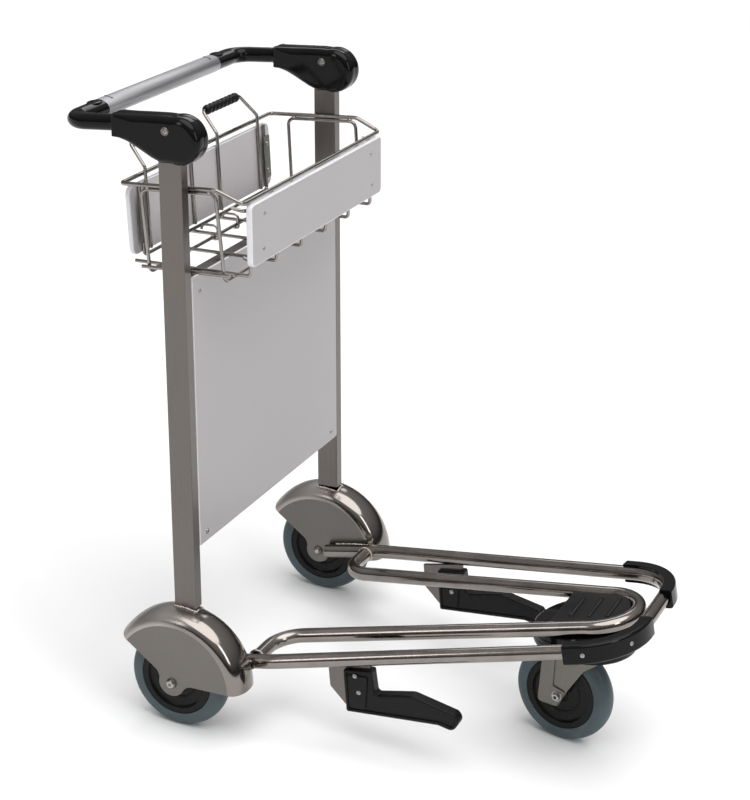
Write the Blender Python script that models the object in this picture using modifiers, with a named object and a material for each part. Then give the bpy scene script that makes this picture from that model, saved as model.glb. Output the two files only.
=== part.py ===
"""Airport luggage trolley: tube base on three wheels, two leaning posts with a press-down brake handle,
a back panel, and a wire hand-luggage basket with a folding rear flap.

Metres, +Z up, +Y is the way the trolley is pushed, +X is its right side. The origin is on the ground under
the middle of the bounding box. The uprights lean back and the tube base climbs towards the front, so each has
an empty of its own whose axes follow it.
"""
import math

import bmesh
import bpy
from mathutils import Matrix, Vector

# ---- driving dimensions, metres and degrees ----
GAP = 0.0003                      # air left between neighbours that touch

LEAN = math.radians(4.31)         # uprights lean back
SLOPE = math.radians(14.5)        # tube base climbs to the front
BASE_Z = 0.0991                   # tube centre height above ground where the leaning axis meets it

POST_X, POST_W, POST_D = 0.276, 0.022, 0.040
POST_BOTTOM, POST_TOP = 0.2200, 1.0400

WHEEL_R, WHEEL_W, HUB_R = 0.0889, 0.040, 0.0640
WHEEL_X, WHEEL_Y = 0.284, -0.0196
AXLE_R = 0.0060

FENDER_HALF, FENDER_FLAT_R, FENDER_CREST_R = 0.036, 0.105, 0.1285
FENDER_FROM, FENDER_TO, FENDER_WALL = math.radians(4), math.radians(147), 0.0025
LOBE_R = 0.0235

TUBE_R = 0.0125
OUTER_REAR_X, OUTER_BEND_S, OUTER_CORNER_X, OUTER_FRONT_S = 0.2352, 0.125, 0.1442, 0.722
OUTER_CORNER_R = 0.095
INNER_REAR_X, INNER_REAR_S = 0.1365, 0.092
INNER_NOSE_X, INNER_NOSE_S, INNER_NOSE_R = 0.0690, 0.6250, 0.0690

PANEL_HALF, PANEL_FRONT, PANEL_THICK, PANEL_LOW, PANEL_HIGH = 0.2647, 0.0205, 0.004, 0.326, 0.788

RIM_R, WIRE_R = 0.0035, 0.0030
RIM_REAR_X, RIM_REAR_V, RIM_REAR_W = 0.2590, -0.1040, 0.9262
RIM_BEND_X, RIM_BEND_V, RIM_BEND_W = 0.2612, 0.0640, 0.9341
RIM_FRONT_X, RIM_FRONT_V, RIM_FRONT_W = 0.2560, 0.1090, 0.9152
CRADLE_TOP_X, CRADLE_LOW_X, CRADLE_LOW_W = 0.2588, 0.2550, 0.7850
CRADLE_REAR_V, CRADLE_FRONT_V = -0.0680, 0.0660
FLOOR_PITCH, FLOOR_W = 0.0909, 0.7914
BOARD_HALF, BOARD_LOW, BOARD_HIGH, BOARD_FRONT, BOARD_THICK = 0.246, 0.811, 0.911, 0.1185, 0.010

FLAP_V, FLAP_W, FLAP_LEAN = -0.0915, 0.7985, math.radians(2.45)
FLAP_SIDE_X, FLAP_BOARD_HALF, FLAP_BOARD_THICK = 0.217, 0.2435, 0.008
FLAP_HANDLE_X = (0.047, 0.195)
GRIP_R = 0.0085

PIVOT_W = 1.0280                  # handle pivot height along the post
CASING_HALF = 0.022
BAR_V, BAR_W, BAR_HALF_LENGTH, BAR_HALF_DEPTH, BAR_HALF_HEIGHT = -0.1801, 1.0230, 0.187, 0.0190, 0.0150
ARM_R, ELBOW_BEND_R = 0.0132, 0.030

SWIVEL_Y, CASTER_TRAIL, CASTER_TURN = 0.602, 0.038, math.radians(-9.7)
FORK_HALF, FORK_WALL, FORK_TOP = 0.0285, 0.004, 0.188
HOUSING_SETBACK = 0.012           # housing centre behind the swivel
BUMPER_OUT, BUMPER_IN, BUMPER_HALF_HEIGHT = 0.017, -0.004, 0.017

SIDES = (("right", 1), ("left", -1))


# ---- scene and frames ----
for old in list(bpy.data.objects):
    bpy.data.objects.remove(old, do_unlink=True)

parts = bpy.data.collections.new("luggage_trolley")
cutters = bpy.data.collections.new("cutters")
bpy.context.scene.collection.children.link(parts)
bpy.context.scene.collection.children.link(cutters)


def empty(name, parent, matrix):
    """An empty that carries a frame; its children are given in that frame."""
    marker = bpy.data.objects.new(name, None)
    marker.empty_display_size = 0.05
    parts.objects.link(marker)
    marker.parent = parent
    marker.matrix_basis = matrix
    return marker


REAR_REACH = BAR_V * math.cos(LEAN) - BAR_W * math.sin(LEAN) - math.hypot(
    BAR_HALF_DEPTH * math.cos(LEAN), BAR_HALF_HEIGHT * math.sin(LEAN))
FRONT_REACH = (OUTER_FRONT_S + BUMPER_OUT) * math.cos(SLOPE) + BUMPER_HALF_HEIGHT * math.sin(SLOPE)

trolley = empty("trolley", None, Matrix.Translation((0, -(REAR_REACH + FRONT_REACH) / 2, 0)))
uprights = empty("uprights", trolley, Matrix.Rotation(LEAN, 4, "X"))
base = empty("base", trolley, Matrix.Translation((0, 0, BASE_Z)) @ Matrix.Rotation(SLOPE, 4, "X"))
flap = empty("flap", uprights, Matrix.Translation((0, FLAP_V, FLAP_W)) @ Matrix.Rotation(FLAP_LEAN, 4, "X"))
handle = empty("handle", uprights, Matrix.Translation((0, 0, PIVOT_W)))
caster = empty("caster", trolley, Matrix.Translation((0, SWIVEL_Y, 0)) @ Matrix.Rotation(CASTER_TURN, 4, "Z"))


# ---- materials ----
def material(name, colour, roughness, metallic=0.0):
    made = bpy.data.materials.new(name)
    made.use_nodes = True
    shader = made.node_tree.nodes["Principled BSDF"]
    shader.inputs["Base Color"].default_value = (*colour, 1.0)
    shader.inputs["Roughness"].default_value = roughness
    shader.inputs["Metallic"].default_value = metallic
    return made


SATIN_STEEL = material("satin_steel", (0.42, 0.39, 0.37), 0.35, 1.0)
POLISHED_STEEL = material("polished_steel", (0.58, 0.54, 0.51), 0.12, 1.0)
WIRE_STEEL = material("wire_steel", (0.62, 0.59, 0.57), 0.15, 1.0)
ZINC_STEEL = material("zinc_steel", (0.50, 0.49, 0.45), 0.40, 1.0)
BOARD_GREY = material("board_grey", (0.50, 0.48, 0.50), 0.45)
BAR_ALUMINIUM = material("bar_aluminium", (0.68, 0.69, 0.71), 0.35, 1.0)
BLACK_PLASTIC = material("black_plastic", (0.012, 0.011, 0.011), 0.16)
DARK_PLASTIC = material("dark_plastic", (0.030, 0.028, 0.028), 0.50)
TYRE_RUBBER = material("tyre_rubber", (0.115, 0.150, 0.165), 0.60)
GRIP_RUBBER = material("grip_rubber", (0.015, 0.015, 0.015), 0.60)


# ---- modelling helpers ----
def place(data, name, parent, finish, matrix=None, collection=parts):
    """Put a mesh or curve into the scene as a named object in its parent's frame."""
    made = bpy.data.objects.new(name, data)
    data.name = name
    data.materials.append(finish)
    collection.objects.link(made)
    made.parent = parent
    made.matrix_basis = matrix or Matrix()
    return made


def as_cutter(made):
    """Hide a helper solid and move it to the cutters' collection."""
    for holder in list(made.users_collection):
        holder.objects.unlink(made)
    cutters.objects.link(made)
    made.hide_render = True
    made.display_type = "WIRE"
    return made


def as_mesh(made, weld=0.00001):
    """Turn a curve object into a mesh object with its caps welded on."""
    bpy.context.view_layer.update()
    evaluated = made.evaluated_get(bpy.context.evaluated_depsgraph_get())
    mesh = bpy.data.meshes.new_from_object(evaluated)
    work = bmesh.new()
    work.from_mesh(mesh)
    bmesh.ops.remove_doubles(work, verts=work.verts, dist=weld)
    bmesh.ops.recalc_face_normals(work, faces=work.faces)
    work.to_mesh(mesh)
    work.free()
    name, parent, matrix, holder = made.name, made.parent, made.matrix_basis.copy(), made.users_collection[0]
    finish = made.data.materials[0]
    bpy.data.objects.remove(made, do_unlink=True)
    mesh.materials.clear()
    solid = place(mesh, name, parent, finish, matrix, holder)
    mesh.shade_smooth()
    mesh.set_sharp_from_angle(angle=math.radians(35))
    return solid


def combine(made, other, operation):
    """Join another solid to this one, or cut it away; the other becomes a hidden helper."""
    modifier = made.modifiers.new(operation.lower() + "_" + other.name, "BOOLEAN")
    modifier.operation = operation
    modifier.solver = "EXACT"
    modifier.object = as_cutter(other)


def round_edges(made, width, segments=2, angle=35):
    modifier = made.modifiers.new("rounding", "BEVEL")
    modifier.width = width
    modifier.segments = segments
    modifier.limit_method = "ANGLE"
    modifier.angle_limit = math.radians(angle)


def box(name, low, high, parent, finish, edge=0.0):
    """A block between two corners of its parent's frame."""
    low, high = Vector(low), Vector(high)
    mesh = bpy.data.meshes.new(name)
    work = bmesh.new()
    bmesh.ops.create_cube(work, size=1.0)
    bmesh.ops.scale(work, vec=high - low, verts=work.verts)
    work.to_mesh(mesh)
    work.free()
    made = place(mesh, name, parent, finish, Matrix.Translation((low + high) / 2))
    if edge:
        round_edges(made, edge)
    return made


def rod(name, radius, start, end, parent, finish, sides=24):
    """A straight round bar between two points."""
    start, end = Vector(start), Vector(end)
    mesh = bpy.data.meshes.new(name)
    work = bmesh.new()
    bmesh.ops.create_cone(work, cap_ends=True, segments=sides, radius1=radius, radius2=radius,
                          depth=(end - start).length)
    work.to_mesh(mesh)
    work.free()
    mesh.shade_smooth()
    mesh.set_sharp_from_angle(angle=math.radians(35))
    turn = (end - start).to_track_quat("Z", "Y").to_matrix().to_4x4()
    return place(mesh, name, parent, finish, Matrix.Translation((start + end) / 2) @ turn)


def arc(centre, radius, start, end, steps):
    """Points of a flat arc, angles in degrees."""
    return [(centre[0] + radius * math.cos(math.radians(start + (end - start) * i / steps)),
             centre[1] + radius * math.sin(math.radians(start + (end - start) * i / steps)))
            for i in range(steps + 1)]


def fillet(points, radius, steps=4, cyclic=False):
    """Round the corners of a path; radius is one value or one per point."""
    points = [Vector(p) for p in points]
    radii = radius if isinstance(radius, (list, tuple)) else [radius] * len(points)
    count = len(points)
    path = []
    for i, point in enumerate(points):
        if not cyclic and i in (0, count - 1) or radii[i] == 0:
            path.append(point)
            continue
        back = (points[i - 1] - point).normalized()
        ahead = (points[(i + 1) % count] - point).normalized()
        half = back.angle(ahead) / 2
        centre = point + (back + ahead).normalized() * radii[i] / math.sin(half)
        first = point + back * radii[i] / math.tan(half) - centre
        last = point + ahead * radii[i] / math.tan(half) - centre
        for step in range(steps + 1):
            path.append(centre + first.slerp(last, step / steps).normalized() * radii[i])
    return path


def tube(name, path, radius, parent, finish, cyclic=False, resolution=2, scales=None):
    """A round bar or wire along a path."""
    curve = bpy.data.curves.new(name, "CURVE")
    curve.dimensions = "3D"
    curve.bevel_depth = radius
    curve.bevel_resolution = resolution
    curve.use_fill_caps = True
    spline = curve.splines.new("POLY")
    spline.points.add(len(path) - 1)
    for i, (point, place_at) in enumerate(zip(spline.points, path)):
        point.co = (*place_at, 1.0)
        point.radius = scales[i] if scales else 1.0
    spline.use_cyclic_u = cyclic
    return as_mesh(place(curve, name, parent, finish))


ACROSS = Matrix(((0, 0, 1, 0), (1, 0, 0, 0), (0, 1, 0, 0), (0, 0, 0, 1)))    # outline (y, z), thickness along x


def plate(name, outline, thickness, parent, finish, matrix):
    """A flat outline with thickness, centred on its own plane."""
    curve = bpy.data.curves.new(name, "CURVE")
    curve.dimensions = "2D"
    curve.fill_mode = "BOTH"
    curve.extrude = thickness / 2
    spline = curve.splines.new("POLY")
    spline.points.add(len(outline) - 1)
    for point, (across, along) in zip(spline.points, outline):
        point.co = (across, along, 0.0, 1.0)
    spline.use_cyclic_u = True
    return as_mesh(place(curve, name, parent, finish, matrix))


def side_plate(name, outline, middle_x, thickness, parent, finish):
    """A plate whose outline is (y, z) and whose thickness runs across the trolley."""
    return plate(name, outline, thickness, parent, finish, Matrix.Translation((middle_x, 0, 0)) @ ACROSS)


def rounded_outline(corners, radius, steps=4):
    path = fillet([(*corner, 0.0) for corner in corners], radius, steps, cyclic=True)
    return [(point.x, point.y) for point in path]


def turned(name, profile, parent, finish, matrix, closed=False, steps=40, angle=2 * math.pi):
    """A turned solid: profile points are (radius, height), running down the outer side."""
    mesh = bpy.data.meshes.new(name)
    work = bmesh.new()
    verts = [work.verts.new((radius, 0, height)) for radius, height in profile]
    for first, second in zip(verts, verts[1:] + verts[:1] if closed else verts[1:]):
        work.edges.new((first, second))
    work.to_mesh(mesh)
    work.free()
    made = place(mesh, name, parent, finish, matrix)
    screw = made.modifiers.new("turn", "SCREW")
    screw.angle = angle
    screw.steps = steps
    screw.render_steps = steps
    screw.use_merge_vertices = True
    screw.merge_threshold = 0.00001
    screw.use_smooth_shade = True
    return made


def on_axle(x, y, z, turn=0.0):
    """A frame at an axle: its Z runs across the trolley, and turn is counted from straight down."""
    return Matrix.Translation((x, y, z)) @ Matrix.Rotation(math.pi / 2, 4, "Y") @ Matrix.Rotation(turn, 4, "Z")


# ---- uprights ----
def build_post(name, side):
    x = side * POST_X
    post = box("post_" + name, (x - POST_W / 2, -POST_D / 2, POST_BOTTOM), (x + POST_W / 2, POST_D / 2, POST_TOP),
               uprights, SATIN_STEEL, edge=0.0015)
    hole = rod("post_hole_" + name, 0.0050, (x - 0.03, 0, PIVOT_W), (x + 0.03, 0, PIVOT_W), uprights, SATIN_STEEL)
    combine(post, hole, "DIFFERENCE")


def build_panel():
    back = PANEL_FRONT - PANEL_THICK
    box("back_panel", (-PANEL_HALF, back, PANEL_LOW), (PANEL_HALF, PANEL_FRONT, PANEL_HIGH), uprights, BOARD_GREY)
    for name, low in (("upper", PANEL_HIGH - 0.030), ("lower", PANEL_LOW + 0.004)):
        box("cross_bar_" + name, (-PANEL_HALF, -0.010, low), (PANEL_HALF, back - GAP, low + 0.026),
            uprights, SATIN_STEEL, edge=0.001)


# ---- fenders, wheels and brakes ----
def build_fender(name, side):
    x = side * WHEEL_X
    bow = FENDER_CREST_R - FENDER_FLAT_R
    crown = [(FENDER_FLAT_R + bow * math.cos(math.radians(a)), FENDER_HALF * math.sin(math.radians(a)))
             for a in range(65, -66, -26)]
    profile = [(0.008, FENDER_HALF), (FENDER_FLAT_R, FENDER_HALF), *crown,
               (FENDER_FLAT_R, -FENDER_HALF), (0.008, -FENDER_HALF)]
    fender = turned("fender_" + name, profile, trolley, POLISHED_STEEL,
                    on_axle(x, WHEEL_Y, WHEEL_R, FENDER_FROM + math.pi / 2), steps=14,
                    angle=FENDER_TO - FENDER_FROM)
    wall = fender.modifiers.new("wall", "SOLIDIFY")
    wall.thickness = FENDER_WALL
    wall.offset = -1.0
    for end in (-1, 1):
        outside = x + end * (FENDER_HALF + 0.0004)
        inside = x + end * (FENDER_HALF - FENDER_WALL - 0.0004)
        lobe = rod(f"lobe_{name}_{'out' if end * side > 0 else 'in'}", LOBE_R,
                   (inside, WHEEL_Y, WHEEL_R), (outside, WHEEL_Y, WHEEL_R), trolley, POLISHED_STEEL)
        combine(fender, lobe, "UNION")
    for label, radius, y, z in (("axle", AXLE_R + GAP, WHEEL_Y, WHEEL_R), ("brake", 0.0045, *brake_pivot())):
        hole = rod(f"{label}_hole_{name}", radius, (x - 0.06, y, z), (x + 0.06, y, z), trolley, POLISHED_STEEL)
        combine(fender, hole, "DIFFERENCE")


def wheel(name, parent, x, y):
    """Tyre and hub on one axle; the hub is grooved and bored for the axle."""
    half = WHEEL_W / 2
    tread = [(HUB_R + 0.0002, half), (0.0740, half), (0.0830, half - 0.0030), (0.0872, half - 0.0075),
             (WHEEL_R, half - 0.0135)]
    profile = tread + [(radius, -height) for radius, height in reversed(tread)]
    turned("tyre_" + name, profile, parent, TYRE_RUBBER, on_axle(x, y, WHEEL_R), closed=True, steps=36)
    web = [(AXLE_R + 0.0001, half - 0.001), (0.0170, half - 0.001), (0.0190, half - 0.006),
           (0.0550, half - 0.005), (HUB_R - 0.0001, half)]
    profile = web + [(radius, -height) for radius, height in reversed(web)]
    turned("hub_" + name, profile, parent, DARK_PLASTIC, on_axle(x, y, WHEEL_R), closed=True, steps=28)


def axle(name, parent, x, y, reach):
    """Axle bolt: domed head at one end, nut at the other."""
    head = [(0.0, reach + 0.0055), (0.0060, reach + 0.0050), (0.0090, reach + 0.0030), (0.0095, reach + GAP),
            (AXLE_R, reach + GAP)]
    profile = head + [(radius, -height) for radius, height in reversed(head)]
    turned(name, profile, parent, ZINC_STEEL, on_axle(x, y, WHEEL_R), steps=16)


BRAKE_ANGLE, BRAKE_RADIUS = math.radians(58), 0.110


def brake_pivot():
    return (WHEEL_Y + BRAKE_RADIUS * math.cos(BRAKE_ANGLE), WHEEL_R + BRAKE_RADIUS * math.sin(BRAKE_ANGLE))


def build_brake(name, side):
    """A shoe that the lever under the fender presses on the tyre."""
    x = side * WHEEL_X
    y, z = brake_pivot()
    centre = (WHEEL_Y, WHEEL_R)
    outline = (arc(centre, WHEEL_R + 0.0008, 82, 122, 5) + arc(centre, WHEEL_R + 0.0100, 122, 88, 4)
               + arc((y, z), 0.0080, 110, -60, 6))
    shoe = side_plate("brake_shoe_" + name, outline, x, 0.024, trolley, DARK_PLASTIC)
    pin = rod("brake_pin_" + name, 0.0040, (x - FENDER_HALF + 0.0012, y, z), (x + FENDER_HALF - 0.0012, y, z),
              trolley, ZINC_STEEL)
    combine(shoe, pin, "UNION")


# ---- tube base ----
def outer_path(side):
    """Right or left half of the outer tube, from its rear end to the middle of the front."""
    corners = [(side * OUTER_REAR_X, 0.004, 0), (side * OUTER_REAR_X, OUTER_BEND_S, 0),
               (side * OUTER_CORNER_X, OUTER_FRONT_S, 0), (0, OUTER_FRONT_S, 0)]
    return fillet(corners, [0, 0.2, OUTER_CORNER_R, 0], steps=8)


def build_tubes():
    right, left = outer_path(1), outer_path(-1)
    tube("outer_frame_tube", right[:-1] + left[-2::-1], TUBE_R, base, POLISHED_STEEL)
    rear = OUTER_REAR_X - TUBE_R - 0.0010
    side_run = fillet([(rear, INNER_REAR_S, 0), (INNER_REAR_X, INNER_REAR_S, 0), (INNER_NOSE_X, INNER_NOSE_S, 0)],
                      0.050, steps=6)[:-1]
    nose = [Vector((x, s, 0)) for x, s in arc((0, INNER_NOSE_S), INNER_NOSE_R, 0, 180, 16)]
    mirrored = [Vector((-p.x, p.y, p.z)) for p in reversed(side_run)]
    tube("inner_frame_tube", side_run + nose + mirrored, TUBE_R, base, POLISHED_STEEL)


def build_tread_plate():
    """Black step plate inside the nose of the inner tube, with three cross slots."""
    inset = TUBE_R + GAP
    taper = (INNER_REAR_X - INNER_NOSE_X) / (INNER_NOSE_S - INNER_REAR_S)
    rear = 0.562
    rear_x = INNER_NOSE_X + taper * (INNER_NOSE_S - rear) - inset - 0.0006
    outline = [(-rear_x, rear), (rear_x, rear)] + arc((0, INNER_NOSE_S), INNER_NOSE_R - inset, 0, 180, 14)
    tread = plate("tread_plate", outline, 0.004, base, DARK_PLASTIC, Matrix.Translation((0, 0, 0.004)))
    for i in range(3):
        s = 0.588 + 0.024 * i
        slot = box(f"tread_slot_{i + 1}", (-0.030, s - 0.0025, -0.02), (0.030, s + 0.0025, 0.02), base, DARK_PLASTIC)
        combine(tread, slot, "DIFFERENCE")


def build_bumper(name, side):
    """Channel-section corner bumper, wrapped round the outside of the front corner."""
    corner = fillet([(side * (OUTER_CORNER_X + 0.0155), OUTER_FRONT_S - 0.1005, 0),
                     (side * OUTER_CORNER_X, OUTER_FRONT_S, 0), (side * 0.052, OUTER_FRONT_S, 0)],
                    [0, OUTER_CORNER_R, 0], steps=8)
    rails = {offset: [] for offset in (BUMPER_IN, BUMPER_OUT)}
    for i, point in enumerate(corner):
        ahead = corner[min(i + 1, len(corner) - 1)] - corner[max(i - 1, 0)]
        outward = Vector((ahead.y, -ahead.x, 0)).normalized() * side
        for offset, rail in rails.items():
            spot = point + outward * offset
            rail.append((spot.x, spot.y))
    outline = rails[BUMPER_OUT] + rails[BUMPER_IN][::-1]
    bumper = plate("bumper_" + name, outline, 2 * BUMPER_HALF_HEIGHT, base, BLACK_PLASTIC, Matrix())
    reach = fillet([(side * (OUTER_CORNER_X + 0.0355), OUTER_FRONT_S - 0.2300, 0),
                    (side * OUTER_CORNER_X, OUTER_FRONT_S, 0), (side * 0.030, OUTER_FRONT_S, 0)],
                   [0, OUTER_CORNER_R, 0], steps=8)
    combine(bumper, tube("bumper_bore_" + name, reach, TUBE_R + GAP, base, BLACK_PLASTIC), "DIFFERENCE")


HOOK_X, HOOK_PLATE_T, HOOK_SHOE_T = 0.205, 0.006, 0.022


def build_hook(name, side):
    """Escalator hook: steel plate under the outer tube with a plastic shoe over its lower part."""
    x = side * HOOK_X
    plate_line = [(0.2136, 0.1400), (0.2206, 0.1011), (0.2622, 0.0646), (0.2900, 0.0740), (0.2900, 0.1560)]
    side_plate("hook_plate_" + name, plate_line, x, HOOK_PLATE_T, trolley, SATIN_STEEL)
    shoe_line = rounded_outline([(0.2445, 0.1430), (0.2560, 0.0660), (0.4200, 0.0900), (0.4470, 0.0860),
                                 (0.4570, 0.1080), (0.4470, 0.1180), (0.3695, 0.1300), (0.3045, 0.1115),
                                 (0.2955, 0.1540)], [0.004, 0.004, 0.010, 0.012, 0.012, 0.006, 0.02, 0.006, 0.004])
    shoe = side_plate("hook_shoe_" + name, shoe_line, x, HOOK_SHOE_T, trolley, DARK_PLASTIC)
    slot_line = [(0.2000, 0.1900), (0.2000, 0.0436), (0.2903, 0.0738), (0.2903, 0.1900)]
    slot = side_plate("hook_slot_" + name, slot_line, x, HOOK_PLATE_T + 2 * GAP, trolley, DARK_PLASTIC)
    combine(shoe, slot, "DIFFERENCE")


# ---- caster ----
def build_caster():
    along = Vector((0, SWIVEL_Y, 0))
    behind = Vector((0, SWIVEL_Y - HOUSING_SETBACK, 0))
    housing = rod("caster_housing", 0.088, behind + Vector((0, 0, 0.1945)), behind + Vector((0, 0, 0.330)),
                  trolley, BLACK_PLASTIC, sides=32)
    round_edges(housing, 0.010)
    top = box("housing_top_cut", (-0.2, 0.3, -TUBE_R - GAP), (0.2, 1.0, 0.4), base, BLACK_PLASTIC)
    bore = rod("kingpin_bore", 0.0083, along + Vector((0, 0, 0.15)), along + Vector((0, 0, 0.2153)),
               trolley, BLACK_PLASTIC)
    combine(housing, top, "DIFFERENCE")
    combine(housing, bore, "DIFFERENCE")
    upright = Matrix.Translation(along)
    turned("kingpin", [(0, 0.2150), (0.0080, 0.2150), (0.0080, FORK_TOP - FORK_WALL - GAP),
                       (0.0130, FORK_TOP - FORK_WALL - GAP), (0.0130, 0.1765), (0, 0.1765)],
           trolley, ZINC_STEEL, upright, steps=16)
    turned("swivel_bearing", [(0.0085, 0.1942), (0.0300, 0.1942), (0.0300, FORK_TOP + GAP),
                              (0.0085, FORK_TOP + GAP)], trolley, ZINC_STEEL, upright, closed=True, steps=24)
    outline = [(-0.075, 0.066), (-0.036, 0.068), (-0.020, 0.1055), (0.004, 0.150), (0.034, FORK_TOP - 0.010),
               (0.034, FORK_TOP), (-0.045, FORK_TOP), (-0.075, 0.160)]
    fork = side_plate("caster_fork", outline, 0, 2 * FORK_HALF, caster, ZINC_STEEL)
    inside = FORK_HALF - FORK_WALL
    space = box("fork_space", (-inside, -0.12, 0.0), (inside, 0.12, FORK_TOP - FORK_WALL), caster, ZINC_STEEL)
    combine(fork, space, "DIFFERENCE")
    combine(fork, rod("fork_axle_bore", AXLE_R + GAP, (-0.05, -CASTER_TRAIL, WHEEL_R), (0.05, -CASTER_TRAIL, WHEEL_R),
                      caster, ZINC_STEEL), "DIFFERENCE")
    combine(fork, rod("fork_pin_bore", 0.0083, (0, 0, 0.15), (0, 0, 0.22), caster, ZINC_STEEL), "DIFFERENCE")
    wheel("caster", caster, 0, -CASTER_TRAIL)
    axle("axle_caster", caster, 0, -CASTER_TRAIL, FORK_HALF)


# ---- basket ----
def mirrored_loop(half):
    """Close a right-hand path with its mirror image."""
    return half + [(-x, v, w) for x, v, w in reversed(half)]


def build_basket():
    rim = mirrored_loop([(RIM_REAR_X, RIM_REAR_V, RIM_REAR_W), (RIM_BEND_X, RIM_BEND_V, RIM_BEND_W),
                         (RIM_FRONT_X, RIM_FRONT_V, RIM_FRONT_W)])
    tube("basket_rim", fillet(rim, [0.008, 0.02, 0.010, 0.010, 0.02, 0.008], 3, cyclic=True), RIM_R,
         uprights, WIRE_STEEL, cyclic=True, resolution=1)
    drop = RIM_R + WIRE_R + GAP
    tops = [RIM_REAR_W + (v - RIM_REAR_V) / (RIM_BEND_V - RIM_REAR_V) * (RIM_BEND_W - RIM_REAR_W) - drop
            for v in (CRADLE_REAR_V, CRADLE_FRONT_V)]
    cradle = mirrored_loop([(CRADLE_LOW_X, CRADLE_REAR_V + 0.008, CRADLE_LOW_W),
                            (CRADLE_TOP_X, CRADLE_REAR_V, tops[0]), (CRADLE_TOP_X, CRADLE_FRONT_V - 0.003, tops[1]),
                            (CRADLE_LOW_X, CRADLE_FRONT_V + 0.008, CRADLE_LOW_W)])
    tube("basket_cradle", fillet(cradle, 0.012, 3, cyclic=True), WIRE_R, uprights, WIRE_STEEL, cyclic=True,
         resolution=1)
    front = mirrored_loop([(0.2440, 0.0830, 0.9040), (0.2440, BOARD_FRONT - BOARD_THICK - WIRE_R - GAP, 0.9000)])
    tube("basket_front_wire", fillet(front, [0, 0.010, 0.010, 0], 3), WIRE_R, uprights, WIRE_STEEL, resolution=1)
    nose = BOARD_FRONT - BOARD_THICK - WIRE_R - GAP
    for i in range(6):
        x = (i - 2.5) * FLOOR_PITCH
        path = fillet([(x, -0.1020, FLOOR_W), (x, nose, FLOOR_W), (x, nose, 0.8160), (x, nose - 0.012, 0.8200)],
                      [0, 0.006, 0.004, 0], 3)
        tube(f"floor_wire_{i + 1}", path, WIRE_R, uprights, WIRE_STEEL, resolution=1)
    for name, side in SIDES:
        tube("side_rod_" + name, [(side * 0.2616, -0.0700, 0.7955), (side * 0.2616, 0.0860, 0.7990)], WIRE_R,
             uprights, WIRE_STEEL, resolution=1)
        box("board_bracket_" + name, (side * 0.204 - 0.012, nose - 0.0010, 0.8240),
            (side * 0.204 + 0.012, nose + 0.0030, 0.8965), uprights, ZINC_STEEL)
    corners = [(BOARD_HALF, BOARD_LOW), (BOARD_HALF, BOARD_HIGH), (-BOARD_HALF, BOARD_HIGH), (-BOARD_HALF, BOARD_LOW)]
    facing = Matrix.Translation((0, BOARD_FRONT - BOARD_THICK / 2, 0)) @ Matrix.Rotation(math.pi / 2, 4, "X")
    plate("front_board", rounded_outline(corners, 0.009), BOARD_THICK, uprights, BOARD_GREY, facing)


# ---- rear flap ----
def build_flap():
    high = 0.1170
    frame = mirrored_loop([(FLAP_SIDE_X, 0, high), (FLAP_SIDE_X, 0, 0)])
    tube("flap_frame", fillet(frame, [0, 0.008, 0.008, 0], 3), WIRE_R, flap, WIRE_STEEL, resolution=1)
    corners = [(FLAP_BOARD_HALF, 0.005), (FLAP_BOARD_HALF, high), (-FLAP_BOARD_HALF, high), (-FLAP_BOARD_HALF, 0.005)]
    behind = -(WIRE_R + GAP + FLAP_BOARD_THICK / 2)
    plate("flap_board", rounded_outline(corners, 0.014), FLAP_BOARD_THICK, flap, BOARD_GREY,
          Matrix.Translation((0, behind, 0)) @ Matrix.Rotation(math.pi / 2, 4, "X"))
    for name, side in SIDES:
        near, far = (side * x for x in FLAP_HANDLE_X)
        inset = side * 0.009
        foot = 2 * WIRE_R + GAP
        path = [(near, 0, foot), (near, 0, 0.139), (near + inset, -0.0290, 0.1735), (far - inset, -0.0290, 0.1735),
                (far, 0, 0.139), (far, 0, foot)]
        tube("flap_handle_" + name, fillet(path, [0, 0.008, 0.007, 0.007, 0.008, 0], 3), WIRE_R, flap, WIRE_STEEL,
             resolution=1)
        middle = (near + far) / 2
        ribs = []
        for i in range(8):
            low = -0.056 + 0.014 * i
            ribs += [(WIRE_R + 0.0002, low)] if i == 0 else []
            ribs += [(GRIP_R - 0.0022, low + 0.0002), (GRIP_R, low + 0.0070)]
        ribs += [(GRIP_R - 0.0022, 0.0560), (WIRE_R + 0.0002, 0.0560)]
        turned("flap_grip_" + name, ribs[::-1], flap, GRIP_RUBBER, on_axle(middle, -0.0290, 0.1735), closed=True,
               steps=12)
        box("flap_strip_" + name, (side * FLAP_SIDE_X - 0.011, WIRE_R + GAP, 0.022),
            (side * FLAP_SIDE_X + 0.011, WIRE_R + GAP + 0.0020, 0.098), flap, ZINC_STEEL)


# ---- handle ----
def build_handle():
    drop = BAR_W - PIVOT_W
    oval = [(BAR_V + BAR_HALF_DEPTH * math.cos(a), drop + BAR_HALF_HEIGHT * math.sin(a))
            for a in (2 * math.pi * i / 32 for i in range(32))]
    side_plate("handle_bar", oval, 0, 2 * BAR_HALF_LENGTH, handle, BAR_ALUMINIUM)
    for name, side in SIDES:
        x = side * POST_X
        path = fillet([(side * (BAR_HALF_LENGTH + GAP), BAR_V, drop), (x, BAR_V, drop), (x, -0.0800, drop + 0.0060)],
                      [0, ELBOW_BEND_R, 0], steps=8)
        swell = [1.32 - 0.32 * min(1.0, i / 7) for i in range(len(path))]
        tube("elbow_" + name, path, ARM_R, handle, BLACK_PLASTIC, scales=swell)
        build_casing(name, x, drop)


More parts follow.
